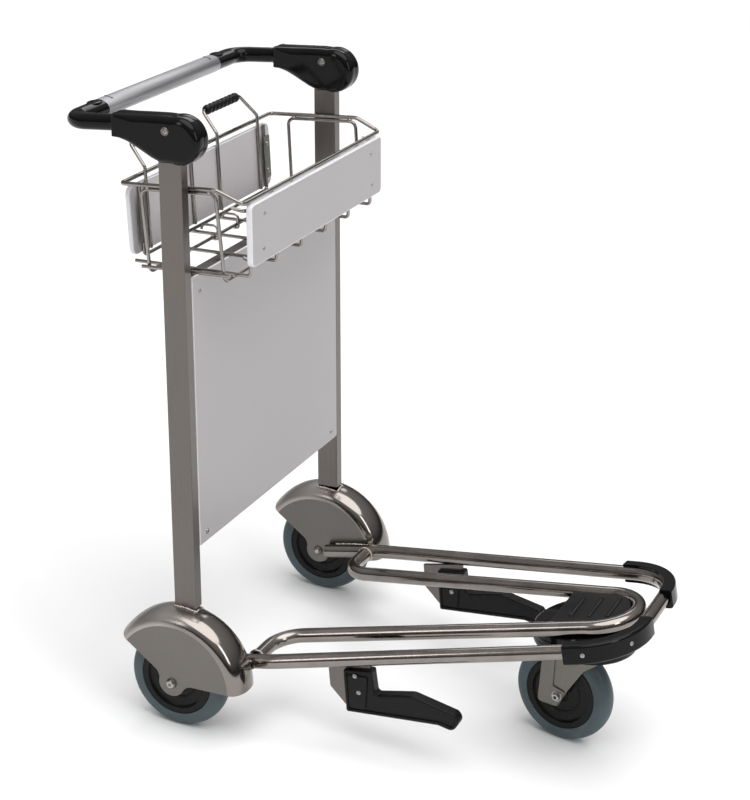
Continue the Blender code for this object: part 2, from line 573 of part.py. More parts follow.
def build_casing(name, x, drop):
    """Teardrop casing over the post's top: slotted for the post, bored for the arm and the pivot pin."""
    head = (0.0182, 1.0125 - PIVOT_W)
    outline = ([(-0.0960, 1.0105 - PIVOT_W), (-0.0617, 0.9985 - PIVOT_W), (-0.0250, 0.9815 - PIVOT_W)]
               + arc(head, 0.0385, -110, 100, 15) + [(-0.0960, 1.0455 - PIVOT_W)])
    casing = side_plate("casing_" + name, outline, x, 2 * CASING_HALF, handle, BLACK_PLASTIC)
    round_edges(casing, 0.005, segments=2, angle=60)
    half = POST_W / 2 + 0.0010
    slot = box("casing_slot_" + name, (x - half, -0.0290, -0.0900), (x + half, 0.0225, POST_TOP - PIVOT_W + 0.0030),
               handle, BLACK_PLASTIC)
    arm = rod("casing_mouth_" + name, ARM_R + GAP, (x, BAR_V, drop), (x, -0.0795, drop + 0.0060),
              handle, BLACK_PLASTIC)
    pin_hole = rod("casing_pin_hole_" + name, 0.0048, (x - 0.04, 0, 0), (x + 0.04, 0, 0), handle, BLACK_PLASTIC)
    for cutter in (slot, arm, pin_hole):
        combine(casing, cutter, "DIFFERENCE")
    reach = CASING_HALF
    pin = [(0, reach + 0.0020), (0.0055, reach + 0.0016), (0.0070, reach + GAP), (0.0047, reach + GAP)]
    turned("handle_pivot_" + name, pin + [(radius, -height) for radius, height in reversed(pin)], uprights,
           ZINC_STEEL, on_axle(x, 0, PIVOT_W), steps=16)


build_panel()
build_tubes()
build_tread_plate()
build_caster()
build_basket()
build_flap()
build_handle()
for side_name, side_sign in SIDES:
    build_post(side_name, side_sign)
    build_fender(side_name, side_sign)
    build_brake(side_name, side_sign)
    build_bumper(side_name, side_sign)
    build_hook(side_name, side_sign)
    wheel(side_name, trolley, side_sign * WHEEL_X, WHEEL_Y)
    axle("axle_" + side_name, trolley, side_sign * WHEEL_X, WHEEL_Y, FENDER_HALF + 0.0004)
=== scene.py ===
"""Looks of the airport luggage trolley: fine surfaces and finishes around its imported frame.

Metres, +Z up, +Y is the way the trolley is pushed, +X is its right side. The uprights, the tube base, the
flap, the handle and the caster each have a matrix here, and a piece is described in the one it belongs to.
"""
from math import acos, asin, ceil, cos, degrees, pi, radians, sin, sqrt, tan

import bmesh
import bpy
from mathutils import Matrix, Vector


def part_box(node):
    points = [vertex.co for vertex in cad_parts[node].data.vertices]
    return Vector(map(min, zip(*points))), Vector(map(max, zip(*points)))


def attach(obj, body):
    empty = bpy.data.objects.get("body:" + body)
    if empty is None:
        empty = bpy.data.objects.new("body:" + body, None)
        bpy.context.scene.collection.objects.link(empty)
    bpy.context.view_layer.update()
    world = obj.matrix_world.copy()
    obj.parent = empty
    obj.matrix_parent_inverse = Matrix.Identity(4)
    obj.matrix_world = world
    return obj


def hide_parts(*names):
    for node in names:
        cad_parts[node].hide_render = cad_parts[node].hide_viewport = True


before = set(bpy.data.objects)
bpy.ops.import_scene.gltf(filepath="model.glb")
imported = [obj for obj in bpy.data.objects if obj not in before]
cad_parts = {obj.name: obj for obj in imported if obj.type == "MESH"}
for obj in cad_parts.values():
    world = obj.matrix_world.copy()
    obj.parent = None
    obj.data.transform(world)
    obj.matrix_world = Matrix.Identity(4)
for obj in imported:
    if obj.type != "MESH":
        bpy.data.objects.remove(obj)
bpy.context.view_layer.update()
shift, turn_about = Matrix.Translation, Matrix.Rotation


# ---- driving dimensions, the same as the frame's ----
def middle(node):
    low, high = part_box(node)
    return (low + high) / 2


GAP = 0.0003
LEAN, SLOPE, BASE_Z = radians(4.31), radians(14.5), 0.0991
POST_X, POST_W, POST_D, POST_BOTTOM, POST_TOP = 0.276, 0.022, 0.04, 0.22, 1.04
WHEEL_R, WHEEL_W, HUB_R = 0.0889, 0.04, 0.064
WHEEL_X, WHEEL_Y = 0.284, -0.0196
FENDER_HALF, FENDER_FLAT_R, FENDER_CREST_R = 0.036, 0.105, 0.1285
FENDER_FROM, FENDER_TO, LOBE_R = 4.0, 147.0, 0.0235
TUBE_R = 0.0125
OUTER_REAR_X, OUTER_BEND_S = 0.2352, 0.125
OUTER_CORNER_X, OUTER_FRONT_S, OUTER_CORNER_R = 0.1442, 0.722, 0.095
INNER_REAR_X, INNER_REAR_S, INNER_NOSE_X, INNER_NOSE_S = 0.1365, 0.092, 0.069, 0.625
PANEL_HALF, PANEL_FRONT, PANEL_THICK, PANEL_LOW, PANEL_HIGH = 0.2647, 0.0205, 0.004, 0.326, 0.788
RIM_R, WIRE_R = 0.0035, 0.003
RIM_REAR = (0.259, -0.104, 0.9262)
RIM_BEND = (0.2612, 0.064, 0.9341)
RIM_FRONT = (0.256, 0.109, 0.9152)
CRADLE_TOP_X, CRADLE_LOW_X, CRADLE_LOW_W, CRADLE_REAR_V, CRADLE_FRONT_V = 0.2588, 0.255, 0.785, -0.068, 0.066
FLOOR_PITCH, FLOOR_W = 0.0909, 0.7914
BOARD_HALF, BOARD_LOW, BOARD_HIGH, BOARD_FRONT, BOARD_THICK = 0.246, 0.811, 0.911, 0.1185, 0.01
FLAP_V, FLAP_W, FLAP_LEAN, FLAP_HIGH = -0.0915, 0.7985, radians(2.45), 0.117
FLAP_SIDE_X, FLAP_BOARD_HALF, FLAP_BOARD_THICK, FLAP_HANDLE_X = 0.217, 0.2435, 0.008, (0.047, 0.195)
GRIP_R = 0.0085
PIVOT_W, CASING_HALF = 1.028, 0.022
BAR_V, BAR_W, BAR_HALF_LENGTH, BAR_HALF_DEPTH, BAR_HALF_HEIGHT = -0.1801, 1.023, 0.187, 0.019, 0.015
ARM_R, ELBOW_BEND_R = 0.0132, 0.03
SWIVEL_Y, CASTER_TRAIL, CASTER_TURN = 0.602, 0.038, radians(-9.7)
FORK_HALF, FORK_WALL, FORK_TOP, HOUSING_SETBACK = 0.0285, 0.004, 0.188, 0.012
HOOK_X, HOOK_PLATE_T, HOOK_SHOE_T, HOOK_RECESS = 0.205, 0.006, 0.022, 0.0036
SIDES = (("right", 1), ("left", -1))

TROLLEY = shift((0, middle("axle_right").y - WHEEL_Y, 0))
UPRIGHTS = TROLLEY @ turn_about(LEAN, 4, "X")
BASE = TROLLEY @ shift((0, 0, BASE_Z)) @ turn_about(SLOPE, 4, "X")
FLAP = UPRIGHTS @ shift((0, FLAP_V, FLAP_W)) @ turn_about(FLAP_LEAN, 4, "X")
HANDLE = UPRIGHTS @ shift((0, 0, PIVOT_W))
CASTER = TROLLEY @ shift((0, SWIVEL_Y, 0)) @ turn_about(CASTER_TURN, 4, "Z")


# ---- finishes ----
class Look:
    """A Principled material and short ways to add nodes to it."""

    def __init__(self, name, colour, roughness, metallic=0.0, **sockets):
        self.material = bpy.data.materials.new(name)
        self.material.use_nodes = True
        self.tree = self.material.node_tree
        self.shader = self.tree.nodes["Principled BSDF"]
        self.fill(self.shader, Base_Color=(*colour, 1.0), Roughness=roughness, Metallic=metallic, **sockets)
        self.coordinates = self.node("TexCoord").outputs["Object"]

    def fill(self, node, **sockets):
        """Give each named socket its value, or link it when the value is another node's output."""
        for name, value in sockets.items():
            socket = node.inputs[name.replace("_", " ")]
            if isinstance(value, bpy.types.NodeSocket):
                self.tree.links.new(value, socket)
            else:
                socket.default_value = value

    def node(self, kind, **sockets):
        made = self.tree.nodes.new("ShaderNode" + kind)
        self.fill(made, **sockets)
        return made

    def noise(self, scale, stretch=(1, 1, 1), turn=(0, 0, 0), detail=3.0):
        place = self.node("Mapping", Rotation=turn, Scale=stretch, Vector=self.coordinates)
        return self.node("TexNoise", Scale=scale, Detail=detail,
                         Vector=place.outputs["Vector"]).outputs["Fac"]

    def along(self, axis):
        """Position along one axis of the object."""
        return self.node("SeparateXYZ", Vector=self.coordinates).outputs[axis]

    def mix(self, first, second, share=0.5):
        weigh = self.tree.nodes.new("ShaderNodeMath")
        weigh.operation = "MULTIPLY"
        weigh.inputs[1].default_value = 1 - share
        self.tree.links.new(first, weigh.inputs[0])
        made = self.tree.nodes.new("ShaderNodeMath")
        made.operation = "MULTIPLY_ADD"
        made.inputs[1].default_value = share
        self.tree.links.new(second, made.inputs[0])
        self.tree.links.new(weigh.outputs[0], made.inputs[2])
        return made.outputs[0]

    def spread(self, source, start, end, low=0.0, high=1.0):
        """A value stretched so that start gives low and end gives high."""
        return self.node("MapRange", From_Min=start, From_Max=end, To_Min=low, To_Max=high,
                         Value=source).outputs["Result"]

    def colour(self, source, *stops):
        """Stops are (where, colour)."""
        ramp = self.node("ValToRGB", Fac=source)
        for element, (where, _) in zip(ramp.color_ramp.elements, (stops[0], stops[-1])):
            element.position = where
        for where, _ in stops[1:-1]:
            ramp.color_ramp.elements.new(where)
        for element, (_, tone) in zip(ramp.color_ramp.elements, stops):
            element.color = (*tone, 1.0)
        self.fill(self.shader, Base_Color=ramp.outputs["Color"])

    def roughness(self, source, low, high, start=0.35, end=0.65):
        self.fill(self.shader, Roughness=self.spread(source, start, end, low, high))

    def bump(self, source, strength, depth):
        made = self.node("Bump", Strength=strength, Distance=depth, Height=source)
        before = self.shader.inputs["Normal"].links
        if before:
            self.fill(made, Normal=before[0].from_socket)
        self.fill(self.shader, Normal=made.outputs["Normal"])


def shade(colour, factor):
    return tuple(channel * factor for channel in colour)


def brushed(name, colour, roughness, stretch, turn=(0, 0, 0), depth=0.00006):
    """Ground steel or aluminium: fine lines along one way, cloudy patches and a few dull spots."""
    look = Look(name, colour, roughness, 1.0)
    lines = look.noise(1.0, stretch, turn, 4.0)
    clouds = look.noise(9.0, detail=4.0)
    both = look.mix(lines, clouds, 0.45)
    look.colour(both, (0.3, shade(colour, 0.9)), (0.5, colour), (0.72, shade(colour, 1.09)))
    look.roughness(both, roughness - 0.05, roughness + 0.07)
    look.bump(lines, 0.22, depth)
    return look.material


def polished(name, colour, roughness):
    """Mirror steel: hairline scratches, smears, and a slight waviness from bending."""
    look = Look(name, colour, roughness, 1.0)
    smears = look.noise(22.0, detail=5.0)
    hairlines = look.noise(1.0, (900, 60, 900), detail=2.0)
    both = look.mix(smears, hairlines, 0.4)
    look.colour(smears, (0.28, shade(colour, 0.82)), (0.52, colour), (0.78, shade(colour, 1.12)))
    look.roughness(both, roughness * 0.6, roughness * 1.7)
    look.bump(look.noise(34.0, detail=1.0), 0.1, 0.0006)
    look.bump(hairlines, 0.1, 0.00004)
    return look.material


def moulded(name, colour, roughness, grain, depth, dust=0.0, specular=0.25):
    """Moulded plastic: fine texture, cloudy gloss and a little dust or rubbing."""
    look = Look(name, colour, roughness, 0.0, Specular_IOR_Level=specular)
    clouds = look.noise(16.0, detail=4.0)
    texture = look.noise(grain, detail=2.0)
    pale = tuple(channel + dust for channel in shade(colour, 1.5))
    look.colour(clouds, (0.3, shade(colour, 0.75)), (0.55, colour), (0.85, pale))
    look.roughness(clouds, roughness * 0.75, roughness * 1.3)
    look.bump(texture, 0.25, depth)
    return look.material


STEEL = (0.158, 0.144, 0.134)
FENDER_POLISH_FROM, FENDER_POLISH_TO = middle("axle_right").y - 0.03, middle("axle_right").y + 0.04
LOOKS = {
    "satin_steel": brushed("satin_steel_grain", STEEL, 0.3, (700, 700, 3), (-LEAN, 0, 0), depth=0.00003),
    "polished_steel": polished("polished_steel_mirror", (0.262, 0.238, 0.22), 0.13),
    "wire_steel": polished("wire_steel_drawn", (0.3, 0.278, 0.262), 0.16),
    "zinc_steel": brushed("zinc_steel_sheet", (0.17, 0.164, 0.143), 0.36, (160, 160, 40)),
    "cheek_steel": brushed("cheek_steel_satin", (0.168, 0.156, 0.146), 0.33, (300, 300, 300), depth=0.00002),
    "bar_aluminium": brushed("bar_aluminium_satin", (0.47, 0.466, 0.482), 0.48, (4, 500, 500), depth=0.00004),
    "black_plastic": moulded("black_plastic_gloss", (0.0045, 0.0042, 0.0042), 0.09, 700, 0.00001,
                             specular=0.17),
    "dark_plastic": moulded("dark_plastic_satin", (0.007, 0.0065, 0.0063), 0.32, 1400, 0.00006, dust=0.002,
                            specular=0.18),
    "tyre_rubber": moulded("tyre_rubber_grey", (0.074, 0.099, 0.108), 0.5, 900, 0.00008, dust=0.006),
    "grip_rubber": moulded("grip_rubber_black", (0.006, 0.0058, 0.0058), 0.45, 900, 0.00008, dust=0.002),
}


def fender_look():
    """Fender crown: satin ground behind the post, polished towards the front."""
    look = Look("fender_crown_steel", (0.25, 0.23, 0.22), 0.2, 1.0)
    forward = look.along("Y")
    smears = look.noise(18.0, detail=5.0)
    polish = look.spread(forward, FENDER_POLISH_FROM, FENDER_POLISH_TO)
    look.colour(look.mix(polish, smears, 0.15), (0.1, (0.4, 0.37, 0.35)), (0.6, (0.24, 0.218, 0.202)))
    look.roughness(polish, 0.42, 0.12, 0.0, 1.0)
    look.bump(smears, 0.1, 0.0005)
    look.bump(look.noise(420.0, detail=2.0), 0.12, 0.00004)
    return look.material


def board_looks(name, painted_light_factor):
    """Laminate face and paler cut edge of the boards. A factor above 1 makes the face lighter, which is
    painted light.
    """
    face = Look(name, (0.42, 0.4, 0.41), 0.34, 0.0, Specular_IOR_Level=0.4)
    clouds = face.noise(3.0, detail=2.0)
    specks = face.noise(900.0, detail=2.0)
    greys = ((0.25, (0.4, 0.382, 0.392)), (0.5, (0.42, 0.402, 0.412)), (0.75, (0.436, 0.42, 0.43)))
    face.colour(face.mix(clouds, specks), *((where, shade(grey, painted_light_factor)) for where, grey in greys))
    face.roughness(clouds, 0.31, 0.37)
    face.bump(specks, 0.15, 0.00005)
    edge = Look(name + "_edge_band", (0.8, 0.79, 0.82), 0.4)
    ply = edge.noise(1.0, (50, 900, 900), detail=3.0)
    edge.colour(ply, (0.3, (0.7, 0.69, 0.72)), (0.55, (0.8, 0.79, 0.82)), (0.8, (0.86, 0.85, 0.87)))
    edge.bump(ply, 0.2, 0.0001)
    return face.material, edge.material


def weld_look():
    """Weld beads: bright ripples with straw and blue heat tints."""
    look = Look("weld_bead", (0.45, 0.41, 0.37), 0.22, 1.0)
    tint = look.noise(70.0, detail=3.0)
    look.colour(tint, (0.3, (0.18, 0.15, 0.15)), (0.45, (0.4, 0.34, 0.28)), (0.6, (0.5, 0.47, 0.44)),
                (0.75, (0.3, 0.31, 0.36)))
    look.roughness(tint, 0.12, 0.36)
    look.bump(look.noise(420.0, detail=3.0), 0.5, 0.0003)
    return look.material


def painted_shade_look():
    """Painted shade: the dark inside of a slot or recess, given as a near-black colour."""
    look = Look("painted_shade_dark", (0.01, 0.01, 0.01), 0.75)
    look.colour(look.noise(60.0), (0.3, (0.004, 0.004, 0.004)), (0.7, (0.013, 0.012, 0.012)))
    return look.material


BOARD_FACE, BOARD_EDGE = board_looks("board_laminate", 1.0)
# The flap's face is the same laminate made 1.45 times lighter: painted light on a board that lies in shade in
# the basket.
FLAP_FACE_PAINTED_LIGHT, _ = board_looks("flap_laminate_painted_light", 1.45)
LOOKS["board_grey"] = BOARD_FACE
LOOKS["fender_steel"] = fender_look()
WELD = weld_look()
PAINTED_SHADE = painted_shade_look()
SCREW_STEEL = brushed("screw_steel", (0.4, 0.39, 0.375), 0.26, (700, 700, 700))


# ---- outlines and paths ----
def arc(centre, radius, start, end, steps):
    """Points of a flat arc, angles in degrees."""
    return [(centre[0] + radius * cos(radians(start + (end - start) * i / steps)),
             centre[1] + radius * sin(radians(start + (end - start) * i / steps)))
            for i in range(steps + 1)]


def fillet(points, radius, steps=10, cyclic=False):
    """Round the corners of a path; radius is one value or one per point."""
    points = [Vector(p) for p in points]
    radii = radius if isinstance(radius, (list, tuple)) else [radius] * len(points)
    count = len(points)
    path = []
    for i, point in enumerate(points):
        if not cyclic and i in (0, count - 1) or radii[i] == 0:
            path.append(point)
            continue
        back = (points[i - 1] - point).normalized()
        ahead = (points[(i + 1) % count] - point).normalized()
        half = back.angle(ahead) / 2
        centre = point + (back + ahead).normalized() * radii[i] / sin(half)
        first = point + back * radii[i] / tan(half) - centre
        last = point + ahead * radii[i] / tan(half) - centre
        for step in range(steps + 1):
            path.append(centre + first.slerp(last, step / steps).normalized() * radii[i])
    return path


def rounded_outline(corners, radius, steps=6):
    return [(p.x, p.y) for p in fillet([(*corner, 0.0) for corner in corners], radius, steps, cyclic=True)]


def rectangle(half, low, high, radius, steps=6, x=0.0):
    """A rounded rectangle that is symmetric about x."""
    corners = [(x + half, low), (x + half, high), (x - half, high), (x - half, low)]
    return rounded_outline(corners, radius, steps)


def inward_normals(outline):
    """Unit vectors that point inward (left of the outline's direction) from each of its points."""
    normals = []
    for i in range(len(outline)):
        before, after = outline[i - 1], outline[(i + 1) % len(outline)]
        along = Vector((after[0] - before[0], after[1] - before[1])).normalized()
        normals.append(Vector((-along.y, along.x)))
    return normals


def inset_outline(outline, depth):
    """The same closed outline moved inward by a depth."""
    return [(a + inward.x * depth, b + inward.y * depth)
            for (a, b), inward in zip(outline, inward_normals(outline))]


def mirrored_loop(half):
    """Close a right-hand path with its mirror image."""
    return half + [(-x, v, w) for x, v, w in reversed(half)]


def ring(radius, sides):
    return [(radius * cos(2 * pi * i / sides), radius * sin(2 * pi * i / sides))
            for i in range(sides)]


def smooth_step(value, start, end):
    share = min(1.0, max(0.0, (value - start) / (end - start)))
    return share * share * (3 - 2 * share)


# ---- making pieces ----
def add_object(name, data):
    made = bpy.data.objects.new(name, data)
    bpy.context.scene.collection.objects.link(made)
    return made


def piece(name, verts, faces, matrix, finish, body, replaced=(), angle=32, slot=None):
    """A mesh in the row frame that rides on a body and takes the given finish; its slot is not used."""
    mesh = bpy.data.meshes.new(name)
    mesh.from_pydata([tuple(matrix @ Vector(v)) for v in verts], [], faces)
    work = bmesh.new()
    work.from_mesh(mesh)
    bmesh.ops.recalc_face_normals(work, faces=work.faces)
    work.to_mesh(mesh)
    work.free()
    mesh.materials.append(LOOKS[finish] if isinstance(finish, str) else finish)
    mesh.shade_smooth()
    mesh.set_sharp_from_angle(angle=radians(angle))
    made = add_object(name, mesh)
    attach(made, body)
    if replaced:
        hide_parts(*replaced)
    return made


def soften(made, width, segments=3, angle=32):
    """Round the edges and keep the flat faces flat."""
    bevel = made.modifiers.new("edges", "BEVEL")
    bevel.width = width
    bevel.segments = segments
    bevel.limit_method = "ANGLE"
    bevel.angle_limit = radians(angle)
    bevel.harden_normals = True
    flatten(made)
    return made


def flatten(made):
    weighted = made.modifiers.new("flat faces", "WEIGHTED_NORMAL")
    weighted.keep_sharp = True
    weighted.weight = 80


def ring_faces(count, sides, closed=False):
    """Faces between a row of rings of points, with an end face on each open end."""
    faces = []
    for i in range(count if closed else count - 1):
        near, far = i * sides, (i + 1) % count * sides
        for j in range(sides):
            k = (j + 1) % sides
            faces.append((near + j, near + k, far + k, far + j))
    if not closed:
        faces.append(tuple(range(sides)))
        faces.append(tuple(range((count - 1) * sides, count * sides)))
    return faces


def sweep(path, section, closed=False, up=None, scales=None):
    """Carry a section of (across, up) points along a path. Without an up direction it turns freely."""
    path = [Vector(p) for p in path]
    count, sides = len(path), len(section)
    verts = []
    across = None
    for i, point in enumerate(path):
        before = path[i - 1] if closed or i else point
        after = path[(i + 1) % count] if closed or i < count - 1 else point
        ahead = (after - before).normalized()
        if up is not None:
            across = ahead.cross(up).normalized()
        else:
            guess = across or ahead.orthogonal()
            across = (guess - ahead * guess.dot(ahead)).normalized()
        rise = across.cross(ahead)
        wide, high = scales[i] if scales else (1.0, 1.0)
        verts += [point + across * a * wide + rise * b * high for a, b in section]
    return verts, ring_faces(count, sides, closed)


def rod(name, path, radius, matrix, finish, body, replaced=(), closed=False, sides=16):
    verts, faces = sweep(path, ring(radius, sides), closed)
    piece(name, verts, faces, matrix, finish, body, replaced)


def dense(path, step):
    """The same path with points no further apart than a step."""
    path = [Vector(p) for p in path]
    made = [path[0]]
    for first, second in zip(path, path[1:]):
        count = max(1, ceil((second - first).length / step))
        made += [first.lerp(second, i / count) for i in range(1, count + 1)]
    return made


def weld(name, path, radius, matrix, body, closed=False, slot="satin_steel"):
    """A rippled weld bead along a path."""
    path = dense(path, radius * 0.3)
    if closed:
        path = path[:-1]
    swell = [1.0 + 0.16 * sin(i * 1.45) + 0.08 * sin(i * 0.37) for i in range(len(path))]
    verts, faces = sweep(path, ring(radius, 10), closed, scales=[(s, s) for s in swell])
    piece(name, verts, faces, matrix, WELD, body, slot=slot, angle=60)


def turned(name, profile, matrix, finish, body, replaced=(), closed=False, sides=64, angle=32, slot=None):
    """A solid turned about its matrix's Z from (radius, height) or (radius, height, corners) points."""
    verts, faces, rings = [], [], []
    for radius, height, *corners in profile:
        if radius == 0:
            rings.append([len(verts)])
            verts.append((0, 0, height))
            continue
        rings.append(list(range(len(verts), len(verts) + sides)))
        for i in range(sides):
            turn = 2 * pi * i / sides
            reach = radius
            if corners:
                wedge = 2 * pi / corners[0]
                reach = radius * cos(wedge / 2) / cos(turn % wedge - wedge / 2)
            verts.append((reach * cos(turn), reach * sin(turn), height))
    pairs = list(zip(rings, rings[1:]))
    if closed:
        pairs.append((rings[-1], rings[0]))
    for first, second in pairs:
        for i in range(sides):
            k = (i + 1) % sides
            quad = (first[i % len(first)], first[k % len(first)], second[k % len(second)],
                    second[i % len(second)])
            faces.append(tuple(dict.fromkeys(quad)))
    for end in (rings[0], rings[-1]):
        if not closed and len(end) > 1:
            faces.append(tuple(end))
    piece(name, verts, faces, matrix, finish, body, replaced, angle, slot)


def slab(outline, thickness):
    """An outline in the local XY plane with thickness along Z, centred."""
    count = len(outline)
    verts = [(a, b, h) for h in (thickness / 2, -thickness / 2) for a, b in outline]
    faces = [tuple(range(count)), tuple(range(count, 2 * count))]
    faces += [(i, (i + 1) % count, (i + 1) % count + count, i + count) for i in range(count)]
    return verts, faces


# An outline drawn in (y, z) with its thickness along x, and one drawn in (x, z) with its thickness along y.
ACROSS = Matrix(((0, 0, 1, 0), (1, 0, 0, 0), (0, 1, 0, 0), (0, 0, 0, 1)))
FACING = turn_about(pi / 2, 4, "X")
UP = Vector((0, 0, 1))


def plate(name, outline, thickness, matrix, finish, body="frame", replaced=(), slot=None):
    """A flat piece with square edges."""
    return piece(name, *slab(outline, thickness), matrix, finish, body, replaced, slot=slot)


def side_plate(name, outline, x, thickness, matrix, finish, body, replaced=(), edge=0.001):
    """A plate that stands along the trolley, with softened edges."""
    made = plate(name, outline, thickness, matrix @ shift((x, 0, 0)) @ ACROSS, finish, body, replaced)
    soften(made, edge)


def facing_matrix(matrix, at, normal):
    """A frame at a point whose Z looks along a direction."""
    return matrix @ shift(at) @ Vector(normal).to_track_quat("Z", "Y").to_matrix().to_4x4()


# Fastener profiles in parts of the fastener's radius: (radius, height) or (radius, height, corners).
SCREW_PROFILE = [(0, 0.1925), (0.42, 0.1925, 6), (0.46, 0.55, 6), (0.62, 0.55), (0.86, 0.429), (1, 0.165),
                 (1, 0.088), (1.28, 0.088), (1.32, 0), (1.32, -0.275), (0, -0.275)]
NUT_PROFILE = [(0, 0.95), (0.5, 0.95), (0.58, 0.85), (0.58, 0.7), (0.86, 0.7, 6), (1, 0.6, 6), (1, 0.14, 6),
               (1.35, 0.14), (1.4, 0), (0, 0)]
BOLT_PROFILE = [(0, 0.3), (0.46, 0.3, 6), (0.5, 0.86, 6), (0.8, 0.86), (0.96, 0.74), (1, 0.5), (1, 0.16),
                (1.34, 0.16), (1.38, 0.1), (1.38, 0), (0, 0)]


def fastener(profile, name, matrix, at, normal, radius, body="frame", sides=36):
    scaled = [(radius * reach, radius * height, *corners) for reach, height, *corners in profile]
    turned(name, scaled, facing_matrix(matrix, at, normal), SCREW_STEEL, body, sides=sides,
           slot="zinc_steel")


def screw(*place):
    """A domed screw head with a socket and a thin washer under it."""
    fastener(SCREW_PROFILE, *place)


def nut(*place):
    """A hexagon nut on a round washer, with the bolt's end showing."""
    fastener(NUT_PROFILE, *place)


def axle_head(*place):
    """A round socket-head bolt on a washer."""
    fastener(BOLT_PROFILE, *place, sides=48)


def carry(finish, *nodes):
    """Give carried nodes the scene's finish."""
    for name in nodes:
        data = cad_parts[name].data
        data.materials.clear()
        data.materials.append(LOOKS[finish])


def board(name, half, low, high, corner, thick, matrix, body, replaced, edge=0.0012, finish=BOARD_FACE):
    """A laminated board with rounded corners and a paler edge band."""
    made = plate(name, rectangle(half, low, high, corner, 8), thick, matrix @ FACING, finish, body, replaced,
                 "board_grey")
    made.data.materials.append(BOARD_EDGE)
    for face in made.data.polygons[2:]:
        face.material_index = 1
    soften(made, edge).modifiers["edges"].material = 1


# ---- uprights ----
def build_post(name, side):
    """Rectangular tube post with rounded corners and a plain cap hidden in the casing."""
    outline = rectangle(POST_W / 2, -POST_D / 2, POST_D / 2, 0.0022, 5, side * POST_X)
    lift = shift((0, 0, (POST_TOP + POST_BOTTOM) / 2))
    flatten(plate("post_tube_" + name, outline, POST_TOP - POST_BOTTOM, UPRIGHTS @ lift, "satin_steel",
                  replaced=["post_" + name]))


def build_panel():
    thick = PANEL_THICK
    centre = shift((0, PANEL_FRONT - thick / 2, 0))
    board("back_panel_sheet", PANEL_HALF - 0.0002, PANEL_LOW, PANEL_HIGH, 0.004, thick, UPRIGHTS @ centre,
          "frame", ["back_panel"], edge=0.0008)
    for name, side in SIDES:
        for label, w in (("upper", PANEL_HIGH - 0.028), ("lower", PANEL_LOW + 0.017)):
            screw(f"panel_screw_{label}_{name}", UPRIGHTS, (side * 0.24, PANEL_FRONT, w), (0, 1, 0), 0.0038)
            screw(f"panel_nut_{label}_{name}", UPRIGHTS, (side * 0.24, -0.0102, w), (0, -1, 0), 0.0038)
    carry("satin_steel", "cross_bar_upper", "cross_bar_lower")


# ---- fenders, wheels and brakes ----
def wheel_frame(x, y=WHEEL_Y):
    """A frame at an axle: local Z runs across the trolley."""
    return shift((x, y, WHEEL_R)) @ turn_about(pi / 2, 4, "Y")


def crest_radius(angle):
    """The fender's crest height, a little lower at its rear end."""
    return FENDER_CREST_R - 0.005 * smooth_step(angle, 100, FENDER_TO)


def fender_outline():
    """Lower side outline (y, z) from the axle: down one radial edge, round the lobe and up the other."""
    blend = 0.02
    off = degrees(asin(blend / (LOBE_R + blend)))
    outline = []
    for edge, way in ((FENDER_TO, 1), (FENDER_FROM, -1)):
        centre_angle = radians(edge + way * off)
        centre = ((LOBE_R + blend) * cos(centre_angle), (LOBE_R + blend) * sin(centre_angle))
        outline.append(arc(centre, blend, edge - way * 90, edge + way * (off - 180), 8))
    rear, front = outline
    start, end = FENDER_TO + off, FENDER_FROM - off + 360
    lobe = arc((0, 0), LOBE_R, start, end, 20)[1:-1]
    return rear + lobe + front[::-1]


def build_fender(name, side):
    """Pressed cover: flat cheeks, a full round crown between them, an open underside, a lobe at the axle."""
    steps, across = 44, 18
    lower = fender_outline()
    angles = [FENDER_FROM + (FENDER_TO - FENDER_FROM) * i / steps for i in range(steps + 1)]
    verts, faces, columns = [], [], []
    for j in range(across + 1):
        tilt = pi * j / across
        column = []
        for angle in angles:
            bow = (crest_radius(angle) - FENDER_FLAT_R) * sin(tilt) ** 0.85
            reach = FENDER_FLAT_R + bow
            column.append(len(verts))
            verts.append((reach * cos(radians(angle)), reach * sin(radians(angle)),
                          FENDER_HALF * cos(tilt)))
        columns.append(column)
    for first, second in zip(columns, columns[1:]):
        faces += [(first[i], first[i + 1], second[i + 1], second[i]) for i in range(steps)]
    for column, sign in ((columns[0], 1), (columns[-1], -1)):
        start = len(verts)
        verts += [(y, z, sign * FENDER_HALF) for y, z in lower]
        faces.append(tuple(column) + tuple(range(start, start + len(lower))))
    matrix = TROLLEY @ shift((side * WHEEL_X, WHEEL_Y, WHEEL_R)) @ ACROSS
    made = piece("fender_shell_" + name, verts, faces, matrix, "fender_steel", "frame", ["fender_" + name],
                 slot="polished_steel")
    made.data.materials.append(LOOKS["cheek_steel"])
    for cheek in made.data.polygons[-2:]:
        cheek.material_index = 1
    wall = made.modifiers.new("wall", "SOLIDIFY")
    wall.thickness = 0.0024
    wall.offset = -1.0
    soften(made, 0.0008, 2, 50)
    bolt = FENDER_HALF + 0.0001
    for label, way in (("outer", side), ("inner", -side)):
        at = (side * WHEEL_X + way * bolt, WHEEL_Y, WHEEL_R)
        maker = axle_head if label == "outer" else nut
        maker(f"axle_{label}_{name}", TROLLEY, at, (way, 0, 0), 0.0068)


def fender_top(x, y):
    """Height of the crown above a point given from the wheel's middle."""
    bow = FENDER_CREST_R - FENDER_FLAT_R
    reach = FENDER_FLAT_R + bow * sqrt(max(0.0, 1 - (x / FENDER_HALF) ** 2))
    return WHEEL_R + sqrt(reach ** 2 - y ** 2)


